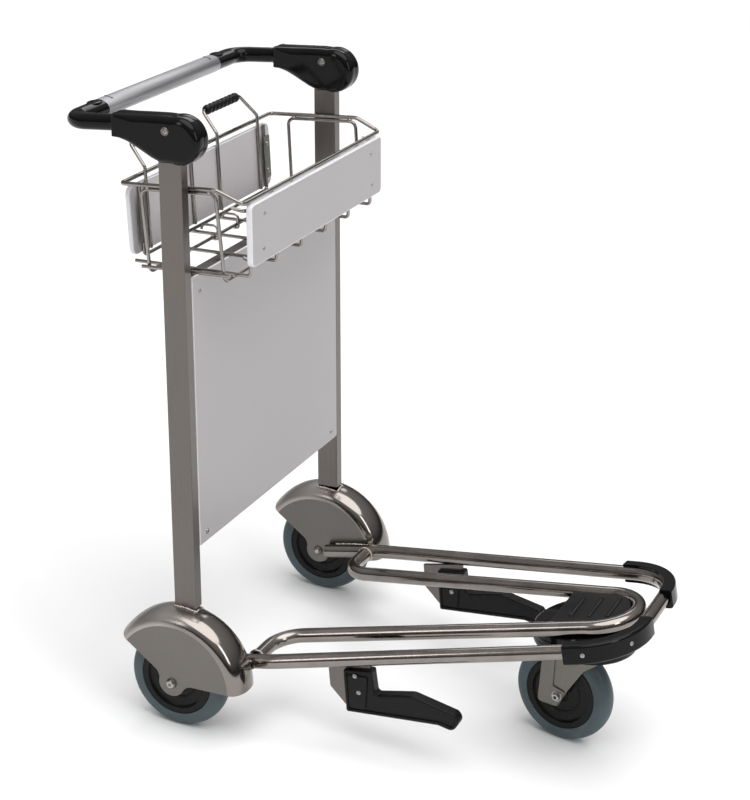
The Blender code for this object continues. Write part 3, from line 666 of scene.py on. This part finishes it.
def build_fender_welds(name, side):
    """Beads round the post's foot and where the tubes meet the fender."""
    offset = side * (POST_X - WHEEL_X)
    foot_y = -0.215 * sin(LEAN)
    half_x, half_y = POST_W / 2 + 0.0008, POST_D / 2 + 0.0008
    corners = [(half_x, half_y), (-half_x, half_y), (-half_x, -half_y), (half_x, -half_y)]
    outline = rounded_outline(corners, 0.003)
    loop = dense([(a, b, 0) for a, b in outline + outline[:1]], 0.002)
    path = []
    for point in loop:
        x, y = offset + point.x, foot_y + point.y - WHEEL_Y
        path.append((side * WHEEL_X + x, WHEEL_Y + y, fender_top(x, y) + 0.0006))
    weld("foot_weld_" + name, path, 0.0024, TROLLEY, "frame", closed=True)
    for label, h in (("upper", 0.0088), ("lower", -0.0088)):
        stretch = [(side * 0.2478, s, h) for s in (0.02, 0.06)] + [(side * 0.2492, 0.098, h * 0.6)]
        weld(f"tube_weld_{label}_{name}", stretch, 0.0024, BASE, "frame", slot="polished_steel")


# Wheel sections from the axle outward: (radius, distance in from the wheel's side).
TYRE_SECTION = [(HUB_R + 0.0003, 0.003), (HUB_R + 0.0006, 0.0004), (HUB_R + 0.0016, 0), (0.0735, 0),
                (0.075, 0.0003), (0.0775, 0.0014), (0.08, 0.0026), (0.0826, 0.0042), (0.0848, 0.0064),
                (0.0866, 0.009), (0.0879, 0.012), (0.0886, 0.015), (WHEEL_R, 0.019)]
HUB_SECTION = [(0.0064, -0.0004), (0.0125, -0.0004), (0.0136, 0.0006), (0.0142, 0.004), (0.0165, 0.0062),
               (0.033, 0.006), (0.0338, 0.0048), (0.0352, 0.0044), (0.036, 0.0056), (0.0372, 0.0062),
               (0.05, 0.0056), (0.052, 0.004), (0.053, 0.0012), (0.0545, 0.0004), (0.0622, 0.0002),
               (0.0634, 0.001), (HUB_R - 0.0001, 0.0026)]


def both_sides(section):
    """A wheel's closed profile from its section on one side."""
    half = [(radius, WHEEL_W / 2 - inset) for radius, inset in section]
    return half + [(radius, -height) for radius, height in reversed(half)]


def build_wheel(name, matrix, body):
    """Grey tyre with bevelled shoulders on a black hub with rings and a bored boss."""
    turned("tyre_rubber_" + name, both_sides(TYRE_SECTION), matrix, "tyre_rubber", body, ["tyre_" + name],
           closed=True, sides=112, angle=20)
    turned("hub_core_" + name, both_sides(HUB_SECTION), matrix, "dark_plastic", body, ["hub_" + name],
           closed=True, sides=96, angle=26)


# ---- tube base ----
def outer_path(side):
    """Right or left half of the outer tube, from its rear end to the middle of the front."""
    corners = [(side * OUTER_REAR_X, 0.004, 0), (side * OUTER_REAR_X, OUTER_BEND_S, 0),
               (side * OUTER_CORNER_X, OUTER_FRONT_S, 0), (0, OUTER_FRONT_S, 0)]
    return fillet(corners, [0, 0.2, OUTER_CORNER_R, 0], steps=18)


def build_tubes():
    right, left = outer_path(1), outer_path(-1)
    rod("outer_tube_bent", right[:-1] + left[-2::-1], TUBE_R, BASE, "polished_steel", "frame",
        ["outer_frame_tube"], sides=40)
    rear = OUTER_REAR_X - TUBE_R - 0.001
    corners = [(rear, INNER_REAR_S, 0), (INNER_REAR_X, INNER_REAR_S, 0), (INNER_NOSE_X, INNER_NOSE_S, 0)]
    side_run = fillet(corners, 0.05, steps=16)[:-1]
    nose = [Vector((x, s, 0)) for x, s in arc((0, INNER_NOSE_S), INNER_NOSE_X, 0, 180, 36)]
    mirrored = [Vector((-p.x, p.y, p.z)) for p in reversed(side_run)]
    rod("inner_tube_bent", side_run + nose + mirrored, TUBE_R, BASE, "polished_steel", "frame",
        ["inner_frame_tube"], sides=40)
    for name, side in SIDES:
        stretch = [(side * (rear - 0.001), INNER_REAR_S + 0.0128 * cos(a), 0.0128 * sin(a))
                   for a in (radians(15 * i) for i in range(24))]
        weld("inner_tube_weld_" + name, stretch + stretch[:1], 0.0022, BASE, "frame", True,
             slot="polished_steel")
        # The open rear end of the outer tube is closed by a sunk disc of painted shade.
        hollow = [(0, 0.0006), (TUBE_R - 0.0022, 0.0006), (TUBE_R - 0.0018, 0.0009),
                  (TUBE_R - 0.0018, -0.001), (0, -0.001)]
        turned("tube_mouth_shade_" + name, hollow, facing_matrix(BASE, (side * OUTER_REAR_X, 0.004, 0), (0, -1, 0)),
               PAINTED_SHADE, "frame", slot="polished_steel", sides=32)


def build_tread_plate():
    """Step plate inside the nose, with three rimmed cross slots whose dark insides are thin sheets of painted
    shade.
    """
    inset = TUBE_R + GAP
    taper = (INNER_REAR_X - INNER_NOSE_X) / (INNER_NOSE_S - INNER_REAR_S)
    rear = 0.562
    rear_x = INNER_NOSE_X + taper * (INNER_NOSE_S - rear) - inset - 0.0008
    outline = [(-rear_x, rear), (rear_x, rear)] + arc((0, INNER_NOSE_S), INNER_NOSE_X - inset, 0, 180, 40)
    soften(plate("tread_plate_sheet", outline, 0.004, BASE @ shift((0, 0, 0.004)), "dark_plastic",
                 replaced=["tread_plate"]), 0.0008, 2)
    for i in range(3):
        middle_s, half_width = 0.59 + 0.032 * i, 0.003
        slot = rectangle(0.036, middle_s - half_width, middle_s + half_width, 0.0029)
        # Each slot is a thin near-black sheet on the plate: painted shade.
        plate(f"tread_slot_{i + 1}", slot, 0.0006, BASE @ shift((0, 0, 0.006)), PAINTED_SHADE, slot="dark_plastic")
        rim = [(x, y, 0.0062) for x, y in slot]
        rod(f"tread_slot_rim_{i + 1}", rim, 0.001, BASE, "black_plastic", "frame", closed=True, sides=8)


def build_bumper(name, side):
    """Corner bumper wrapped round the outside of the front corner."""
    corner = fillet([(side * (OUTER_CORNER_X + 0.0155), OUTER_FRONT_S - 0.1005, 0),
                     (side * OUTER_CORNER_X, OUTER_FRONT_S, 0), (side * 0.052, OUTER_FRONT_S, 0)],
                    [0, OUTER_CORNER_R, 0], steps=26)
    out, inner, high, bore = 0.017, -0.004, 0.017, TUBE_R + GAP
    lip = degrees(acos(-inner / bore))
    section = [(out, -high + 0.005)]
    section += arc((out - 0.005, high - 0.005), 0.005, 0, 90, 5) + [(inner, high)]
    section += arc((0, 0), bore, 180 - lip, -180 + lip, 14)
    section += [(inner, -high)] + arc((out - 0.005, -high + 0.005), 0.005, -90, 0, 5)[:-1]
    section = [(a * side, b) for a, b in section]
    verts, faces = sweep(corner, section, up=UP)
    made = piece("bumper_cap_" + name, verts, faces, BASE, "black_plastic", "frame", ["bumper_" + name],
                 angle=40)
    soften(made, 0.0008, 2, 50)
    for label, share in (("rear", 0.1), ("front", 0.62)):
        at = corner[round(share * (len(corner) - 1))]
        beside = corner[round(share * (len(corner) - 1)) + 1] - at
        outward = Vector((beside.y, -beside.x, 0)).normalized() * side
        screw(f"bumper_screw_{label}_{name}", BASE, at + outward * (out - 0.0002), outward, 0.0028)


def build_hook(name, side):
    """Escalator hook: a steel plate under the outer tube and a ribbed plastic shoe over its lower part."""
    x = side * HOOK_X
    blade = rounded_outline([(0.2136, 0.144), (0.2206, 0.1011), (0.2622, 0.0646), (0.29, 0.074),
                             (0.29, 0.164)], [0.001, 0.008, 0.006, 0.002, 0.001])
    side_plate("hook_blade_" + name, blade, x, HOOK_PLATE_T, TROLLEY, "satin_steel", "frame",
               ["hook_plate_" + name], edge=0.0007)
    shoe = rounded_outline([(0.2445, 0.143), (0.256, 0.066), (0.42, 0.09), (0.447, 0.086),
                            (0.457, 0.108), (0.447, 0.118), (0.3695, 0.13), (0.3045, 0.1115),
                            (0.2955, 0.154)], [0.004, 0.004, 0.01, 0.012, 0.012, 0.006, 0.02, 0.006, 0.004])
    side_plate("hook_shoe_web_" + name, shoe, x, HOOK_SHOE_T - 2 * HOOK_RECESS, TROLLEY, "dark_plastic",
               "frame", ["hook_shoe_" + name], edge=0.001)
    bead = 0.003
    ridge = inset_outline(shoe, bead)
    for label, way in (("outer", side), ("inner", -side)):
        path = [(x + way * (HOOK_SHOE_T / 2 - bead), y, z) for y, z in ridge]
        rod(f"hook_shoe_rim_{label}_{name}", path, bead, TROLLEY, "black_plastic", "frame", closed=True,
            sides=14)
    block = rounded_outline([(0.252, 0.135), (0.261, 0.074), (0.29, 0.078), (0.289, 0.14)], 0.004)
    side_plate("hook_shoe_block_" + name, block, x, HOOK_SHOE_T - 0.0016, TROLLEY, "dark_plastic", "frame",
               edge=0.0014)
    for way in (1, -1):
        face = x + way * (HOOK_SHOE_T / 2 - 0.0008)
        label = "outer" if way == side else "inner"
        for i, (y, z) in enumerate(((0.2664, 0.1363), (0.2757, 0.1074))):
            screw(f"hook_screw_{label}_{i + 1}_{name}", TROLLEY, (face, y, z), (way, 0, 0), 0.0029)


# ---- caster ----
def build_housing():
    """Round black housing under the front of the base, with bands that follow its sloping top."""
    sides, radius = 96, 0.088
    low, rim = 0.1945, TUBE_R + GAP
    bands = [(0, -0.01), (0.03, -0.003), (0.08, 0), (0.36, 0), (0.37, -0.002), (0.4, -0.002), (0.41, 0),
             (0.66, 0), (0.67, -0.002), (0.7, -0.002), (0.71, 0), (0.96, 0), (1, -0.0012)]
    verts = []
    for share, inset in bands:
        for i in range(sides):
            turn = 2 * pi * i / sides
            x = (radius + inset) * cos(turn)
            y = SWIVEL_Y - HOUSING_SETBACK + (radius + inset) * sin(turn)
            top = BASE_Z + y * tan(SLOPE) - rim / cos(SLOPE)
            verts.append((x, y, low + share * (top - low)))
    faces = ring_faces(len(bands), sides)
    flatten(piece("housing_shell", verts, faces, TROLLEY, "black_plastic", "frame", ["caster_housing"],
                  angle=28))


def build_fork():
    """Bent sheet fork: two cheeks, a bridge with a bend radius, and a stamped step beside the axle."""
    half, wall, bend = FORK_HALF, FORK_WALL, 0.004
    cheek = rounded_outline([(-0.075, 0.066), (-0.036, 0.068), (-0.02, 0.1055), (0.004, 0.15),
                             (0.034, FORK_TOP - 0.01), (0.034, FORK_TOP - wall), (-0.045, FORK_TOP - wall),
                             (-0.075, 0.16)], [0.008, 0.007, 0.01, 0.02, 0.004, 0.002, 0.004, 0.012])
    step = rounded_outline([(-0.0735, 0.0675), (-0.037, 0.0695), (-0.0235, 0.102), (-0.048, 0.106),
                            (-0.05, 0.17), (-0.0735, 0.159)], [0.008, 0.006, 0.005, 0.004, 0.004, 0.01])
    for name, side in SIDES:
        side_plate("fork_cheek_" + name, cheek, side * (half - wall / 2), wall, CASTER, "zinc_steel",
                   "caster", edge=0.0009)
        side_plate("fork_stamping_" + name, step, side * (half + 0.0008), 0.0036, CASTER, "zinc_steel",
                   "caster", edge=0.0012)
    top = [(half, -wall - 0.001)] + arc((half - bend, -bend), bend, 0, 90, 6)
    top += arc((bend - half, -bend), bend, 90, 180, 6)
    top += [(-half, -wall - 0.001), (wall - half, -wall - 0.001), (wall - half, -wall), (half - wall, -wall),
            (half - wall, -wall - 0.001)]
    verts, faces = sweep([(0, -0.045, FORK_TOP), (0, 0.034, FORK_TOP)], top, up=UP)
    bridge = piece("fork_bridge", verts, faces, CASTER, "zinc_steel", "caster", ["caster_fork"])
    soften(bridge, 0.0005, 2, 50)
    for name, side in SIDES:
        maker = axle_head if side > 0 else nut
        maker("caster_bolt_" + name, CASTER, (side * (FORK_HALF + 0.0026), -CASTER_TRAIL, WHEEL_R),
              (side, 0, 0), 0.0068, "caster")
    carry("zinc_steel", "kingpin", "swivel_bearing", "axle_right", "axle_left", "axle_caster")


# ---- basket ----
def wire(name, path, replaced, matrix=UPRIGHTS, body="frame", closed=False):
    """A wire of the basket or the flap."""
    rod(name, path, WIRE_R, matrix, "wire_steel", body, [replaced], closed)


def build_basket():
    rim = mirrored_loop([RIM_REAR, RIM_BEND, RIM_FRONT])
    rod("rim_wire", fillet(rim, [0.008, 0.02, 0.01, 0.01, 0.02, 0.008], 8, cyclic=True), RIM_R, UPRIGHTS,
        "wire_steel", "frame", ["basket_rim"], closed=True)
    drop = RIM_R + WIRE_R + GAP
    slope = (RIM_BEND[2] - RIM_REAR[2]) / (RIM_BEND[1] - RIM_REAR[1])
    rear_top, front_top = (RIM_REAR[2] + (v - RIM_REAR[1]) * slope - drop
                           for v in (CRADLE_REAR_V, CRADLE_FRONT_V))
    cradle = mirrored_loop([(CRADLE_LOW_X, CRADLE_REAR_V + 0.008, CRADLE_LOW_W),
                            (CRADLE_TOP_X, CRADLE_REAR_V, rear_top),
                            (CRADLE_TOP_X, CRADLE_FRONT_V - 0.003, front_top),
                            (CRADLE_LOW_X, CRADLE_FRONT_V + 0.008, CRADLE_LOW_W)])
    wire("cradle_wire", fillet(cradle, 0.012, 8, cyclic=True), "basket_cradle", closed=True)
    nose = BOARD_FRONT - BOARD_THICK - WIRE_R - GAP
    front = mirrored_loop([(0.244, 0.083, 0.904), (0.244, nose, 0.9)])
    wire("front_wire", fillet(front, [0, 0.01, 0.01, 0], 8), "basket_front_wire")
    for i in range(6):
        x = (i - 2.5) * FLOOR_PITCH
        path = fillet([(x, -0.102, FLOOR_W), (x, nose, FLOOR_W), (x, nose, 0.816), (x, nose - 0.012, 0.82)],
                      [0, 0.006, 0.004, 0], 8)
        wire(f"floor_rod_{i + 1}", path, f"floor_wire_{i + 1}")
        for label, v in (("rear", CRADLE_REAR_V + 0.008), ("front", CRADLE_FRONT_V + 0.008)):
            spot_weld(f"floor_weld_{label}_{i + 1}", (x, v, (FLOOR_W + CRADLE_LOW_W) / 2))
    for name, side in SIDES:
        wire("side_wire_" + name, [(side * 0.2616, -0.07, 0.7955), (side * 0.2616, 0.086, 0.799)],
             "side_rod_" + name)
        for label, v, top in (("rear", CRADLE_REAR_V + 0.012, rear_top),
                              ("front", CRADLE_FRONT_V - 0.014, front_top)):
            spot_weld(f"rim_weld_{label}_{name}", (side * CRADLE_TOP_X, v, top + WIRE_R))
        for label, x, w in (("upper", 0.202, 0.889), ("lower", 0.2065, 0.833)):
            screw(f"front_screw_{label}_{name}", UPRIGHTS, (side * x, BOARD_FRONT, w), (0, 1, 0), 0.0028)
            screw(f"bracket_screw_{label}_{name}", UPRIGHTS, (side * 0.204, nose - 0.001, w), (0, -1, 0),
                  0.0036)
        carry("zinc_steel", "board_bracket_" + name)
        bends = ((0.0255, -0.019), (0.0365, -0.019), (0.0365, 0.0045), (0.006, 0.0045), (0.006, -0.004))
        hook = [(side * 0.0372, FLAP_V + v, FLAP_W + w) for v, w in bends]
        rod("flap_hinge_hook_" + name, fillet(hook, [0, 0.004, 0.008, 0.008, 0], 8), 0.0022, UPRIGHTS,
            "wire_steel", "frame")
    centre = shift((0, BOARD_FRONT - BOARD_THICK / 2, 0))
    board("front_board_sheet", BOARD_HALF, BOARD_LOW, BOARD_HIGH, 0.009, BOARD_THICK, UPRIGHTS @ centre,
          "frame", ["front_board"], edge=0.0018)


def spot_weld(name, at):
    """A small flattened nugget where two wires cross."""
    size = 0.0042
    profile = [(0, 0.6), (0.45, 0.52), (0.85, 0.25), (1, 0), (0.85, -0.25), (0.45, -0.52), (0, -0.6)]
    turned(name, [(size * radius, size * height) for radius, height in profile], UPRIGHTS @ shift(at), WELD,
           "frame", sides=14, angle=80, slot="wire_steel")


# ---- rear flap ----
def build_flap():
    frame_path = mirrored_loop([(FLAP_SIDE_X, 0, FLAP_HIGH), (FLAP_SIDE_X, 0, 0)])
    wire("flap_wire", fillet(frame_path, [0, 0.008, 0.008, 0], 8), "flap_frame", FLAP, "flap")
    behind = -(WIRE_R + GAP + FLAP_BOARD_THICK / 2)
    # The flap board takes the lighter laminate, which is painted light.
    board("flap_board_sheet", FLAP_BOARD_HALF, 0.005, FLAP_HIGH, 0.014, FLAP_BOARD_THICK,
          FLAP @ shift((0, behind, 0)), "flap", ["flap_board"], edge=0.0016, finish=FLAP_FACE_PAINTED_LIGHT)
    for name, side in SIDES:
        near, far = (side * x for x in FLAP_HANDLE_X)
        inset = side * 0.009
        foot = 2 * WIRE_R + GAP
        path = [(near, 0, foot), (near, 0, 0.139), (near + inset, -0.029, 0.1735),
                (far - inset, -0.029, 0.1735), (far, 0, 0.139), (far, 0, foot)]
        wire("flap_handle_wire_" + name, fillet(path, [0, 0.008, 0.007, 0.007, 0.008, 0], 8),
             "flap_handle_" + name, FLAP, "flap")
        build_grip(name, (near + far) / 2)
        front = WIRE_R + GAP
        centre = shift((side * FLAP_SIDE_X, front + 0.001, 0))
        soften(plate("flap_strip_plate_" + name, rectangle(0.011, 0.022, 0.098, 0.003), 0.002,
                     FLAP @ centre @ FACING, "zinc_steel", "flap", ["flap_strip_" + name]), 0.0006, 2)
        for i, h in enumerate((0.036, 0.084)):
            screw(f"strip_screw_{i + 1}_{name}", FLAP, (side * FLAP_SIDE_X, front + 0.002, h), (0, 1, 0),
                  0.0036, "flap")
            screw(f"strip_nut_{i + 1}_{name}", FLAP, (side * FLAP_SIDE_X, behind - FLAP_BOARD_THICK / 2, h),
                  (0, -1, 0), 0.0036, "flap")


def build_grip(name, x):
    """Rubber grip of round beads on the flap handle's wire."""
    beads, low, length = 8, -0.056, 0.014
    profile = [(WIRE_R + 0.0002, low)]
    for i in range(beads):
        for step in range(7):
            share = step / 6
            swell = sin(pi * share) ** 0.55
            profile.append((GRIP_R - 0.0026 + 0.0026 * swell, low + length * (i + 0.01 + 0.98 * share)))
    profile.append((WIRE_R + 0.0002, -low))
    matrix = FLAP @ shift((x, -0.029, 0.1735)) @ turn_about(pi / 2, 4, "Y")
    turned("flap_grip_rubber_" + name, profile, matrix, "grip_rubber", "flap", ["flap_grip_" + name],
           closed=True, sides=28, angle=60)


# ---- handle ----
def build_handle():
    drop = BAR_W - PIVOT_W
    oval = [(BAR_HALF_DEPTH * a, BAR_HALF_HEIGHT * b) for a, b in ring(1, 56)]
    ends = [-BAR_HALF_LENGTH, -BAR_HALF_LENGTH + 0.0012, 0, BAR_HALF_LENGTH - 0.0012, BAR_HALF_LENGTH]
    verts, faces = sweep([(x, BAR_V, drop) for x in ends], oval, up=UP,
                         scales=[(0.965, 0.96), (1, 1), (1, 1), (1, 1), (0.965, 0.96)])
    piece("grab_bar", verts, faces, HANDLE, "bar_aluminium", "handle", ["handle_bar"])
    for name, side in SIDES:
        x = side * POST_X
        corners = [(side * (BAR_HALF_LENGTH + GAP), BAR_V, drop), (x, BAR_V, drop), (x, -0.08, drop + 0.006)]
        path = dense(fillet(corners, [0, ELBOW_BEND_R, 0], steps=22), 0.004)
        scales = []
        for i in range(len(path)):
            share = smooth_step(i / (len(path) - 1), 0.15, 0.75)
            scales.append((0.0182 + (ARM_R - 0.0182) * share, 0.0144 + (ARM_R - 0.0144) * share))
        verts, faces = sweep(path, ring(1.0, 36), up=UP, scales=scales)
        piece("elbow_grip_" + name, verts, faces, HANDLE, "black_plastic", "handle", ["elbow_" + name])
        build_casing(name, side, drop)
        build_bar_slot(name, side, drop)
        build_elbow_socket(name, side, drop)


def build_elbow_socket(name, side, drop):
    """Oval well with a raised lip where the bar enters the elbow; the well's dark inside is a flat sheet of
    painted shade.
    """
    matrix = HANDLE @ shift((side * (BAR_HALF_LENGTH + 0.017), BAR_V + 0.001, drop + 0.0108))
    oval = [(0.015 * a, 0.01 * b) for a, b in ring(1, 40)]
    plate("elbow_socket_shade_" + name, oval, 0.005, matrix, PAINTED_SHADE, "handle", slot="black_plastic")
    rod("elbow_lip_" + name, [(a, b, 0.0027) for a, b in oval], 0.0012, matrix, "black_plastic", "handle",
        closed=True, sides=12)


def build_bar_slot(name, side, drop):
    """A short slot on top of the bar near its end, drawn as a thin dark sheet of painted shade."""
    at = (side * (BAR_HALF_LENGTH - 0.022), BAR_V + 0.0035, drop + BAR_HALF_HEIGHT * 0.982)
    plate("bar_slot_shade_" + name, rectangle(0.0009, -0.008, 0.008, 0.0008), 0.0006,
          facing_matrix(HANDLE, at, (0, 0.16, 1)), PAINTED_SHADE, "handle", slot="bar_aluminium")


def casing_outline():
    """Side outline of the casing in the handle's frame, from the mouth's lower corner round the head."""
    head = (0.0182, 1.0125 - PIVOT_W)
    lower = [(-0.096, 1.011), (-0.093, 1.0088), (-0.083, 1.0076), (-0.07, 1.003), (-0.056, 0.9962),
             (-0.042, 0.9888), (-0.028, 0.9815), (-0.012, 0.9755)]
    upper = [(-0.006, 1.05), (-0.03, 1.049), (-0.06, 1.0474), (-0.09, 1.046), (-0.096, 1.045)]
    points = [(v, w - PIVOT_W) for v, w in lower]
    points += arc(head, 0.0382, -108, 104, 34)
    points += [(v, w - PIVOT_W) for v, w in upper]
    return points


def build_casing(name, side, drop):
    """Fat teardrop casing: deep rounded edges, a parting line round its middle, a crisp mouth for the arm."""
    outline = casing_outline()
    edge_r, steps = 0.012, 8
    levels = [(0.0, 0.0007), (0.0009, 0.0)]
    levels += [(CASING_HALF - edge_r + edge_r * sin(t), edge_r * (1 - cos(t)))
               for t in (pi / 2 * i / steps for i in range(steps + 1))]
    levels = [(-across, inset) for across, inset in reversed(levels)] + levels[1:]
    verts = []
    for across, inset in levels:
        for (v, w), normal in zip(outline, inward_normals(outline)):
            give = 0.3 + 0.7 * smooth_step(v, -0.096, -0.06)
            verts.append((v + normal.x * inset * give, w + normal.y * inset * give, across))
    faces = ring_faces(len(levels), len(outline))
    x = side * POST_X
    flatten(piece("casing_shell_" + name, verts, faces, HANDLE @ shift((x, 0, 0)) @ ACROSS, "black_plastic",
                  "handle", ["casing_" + name], angle=38))
    for way in (1, -1):
        label = "outer" if way == side else "inner"
        screw(f"pivot_screw_{label}_{name}", UPRIGHTS, (x + way * (CASING_HALF - 0.0002), 0.002, PIVOT_W),
              (way, 0, 0), 0.004)
    collar = [(ARM_R + 0.0006, 0.004), (ARM_R + 0.0022, 0.0036), (ARM_R + 0.0028, 0.002),
              (ARM_R + 0.0028, -0.006), (ARM_R + 0.0006, -0.006)]
    turned("casing_collar_" + name, collar, facing_matrix(HANDLE, (x, -0.0968, drop + 0.005), (0, -1, -0.05)),
           "black_plastic", "handle", closed=True, sides=40)


build_panel()
build_tubes()
build_tread_plate()
build_housing()
build_fork()
build_basket()
build_flap()
build_handle()
for side_name, side_sign in SIDES:
    build_post(side_name, side_sign)
    build_fender(side_name, side_sign)
    build_fender_welds(side_name, side_sign)
    build_bumper(side_name, side_sign)
    build_hook(side_name, side_sign)
    build_wheel(side_name, TROLLEY @ wheel_frame(side_sign * WHEEL_X), "wheel_" + side_name)
    carry("dark_plastic", "brake_shoe_" + side_name)
    carry("zinc_steel", "handle_pivot_" + side_name)
build_wheel("caster", CASTER @ wheel_frame(0, -CASTER_TRAIL), "caster_wheel")


# ---- floor, light and camera ----
def build_floor():
    verts, faces = sweep([(0, 0, 0), (0, 0, -0.01)], ring(60.0, 96))
    mesh = bpy.data.meshes.new("floor")
    mesh.from_pydata(verts, [], faces)
    look = Look("floor_pale", (0.92, 0.92, 0.92), 0.75)
    look.colour(look.noise(2.0), (0.2, (0.9, 0.9, 0.9)), (0.8, (0.93, 0.93, 0.93)))
    mesh.materials.append(look.material)
    add_object("floor", mesh)


def light(name, kind, at, strength, size):
    """A lamp that looks at the middle of the trolley."""
    data = bpy.data.lights.new(name, kind)
    data.energy = strength
    if kind == "AREA":
        data.shape = "RECTANGLE"
        data.size, data.size_y = size
    else:
        data.angle = size
    add_object(name, data).matrix_world = facing_matrix(Matrix(), at, Vector(at) - Vector((0, 0, 0.5)))


def build_light():
    world = bpy.data.worlds.new("studio")
    bpy.context.scene.world = world
    world.use_nodes = True
    tree = world.node_tree
    link = tree.links.new
    kinds = ("TexCoord", "SeparateXYZ", "ValToRGB", "LightPath", "Mix")
    place, split, ramp, seen, choose = (tree.nodes.new("ShaderNode" + kind) for kind in kinds)
    stops = ((0.00, 0.04), (0.12, 0.06), (0.28, 0.22), (0.55, 0.4), (1.00, 0.6))
    while len(ramp.color_ramp.elements) < len(stops):
        ramp.color_ramp.elements.new(1.0)
    for element, (where, value) in zip(ramp.color_ramp.elements, stops):
        element.position = where
        element.color = (value, value, value, 1.0)
    choose.data_type = "RGBA"
    choose.inputs["B"].default_value = (1.0, 1.0, 1.0, 1.0)
    link(place.outputs["Generated"], split.inputs["Vector"])
    link(split.outputs["Z"], ramp.inputs["Fac"])
    link(ramp.outputs["Color"], choose.inputs["A"])
    link(seen.outputs["Is Camera Ray"], choose.inputs["Factor"])
    link(choose.outputs["Result"], tree.nodes["Background"].inputs["Color"])
    light("soft_sun", "SUN", (0.6, 0.9, 5.0), 2.3, radians(60))
    light("front_box", "AREA", (1.6, 3.2, 2.4), 26, (0.8, 2.2))
    light("side_box", "AREA", (3.4, -1.6, 2.6), 16, (0.6, 2.0))
    light("back_box", "AREA", (-2.6, -1.2, 2.8), 14, (2.0, 1.0))


def build_camera():
    """A long lens from the front right, at the height of a standing person's eyes."""
    azimuth, elevation, roll, distance = 112.4506, 22.8576, 4.3053, 3.47067
    target = Vector((0.0159, -0.0388, 0.5433))
    a, e, r = (radians(angle) for angle in (azimuth, elevation, roll))
    back = Vector((sin(a) * cos(e), -cos(a) * cos(e), sin(e)))
    right = UP.cross(back).normalized()
    up = back.cross(right)
    rolled_right = cos(r) * right + sin(r) * up
    rolled_up = -sin(r) * right + cos(r) * up
    matrix = Matrix((rolled_right, rolled_up, back)).transposed().to_4x4()
    matrix.translation = target + back * distance
    data = bpy.data.cameras.new("camera")
    data.sensor_width = 36.0
    data.lens = 93.19
    camera = add_object("camera", data)
    camera.matrix_world = matrix
    bpy.context.scene.camera = camera
    bpy.context.scene.view_settings.view_transform = "Standard"


build_floor()
build_light()
build_camera()
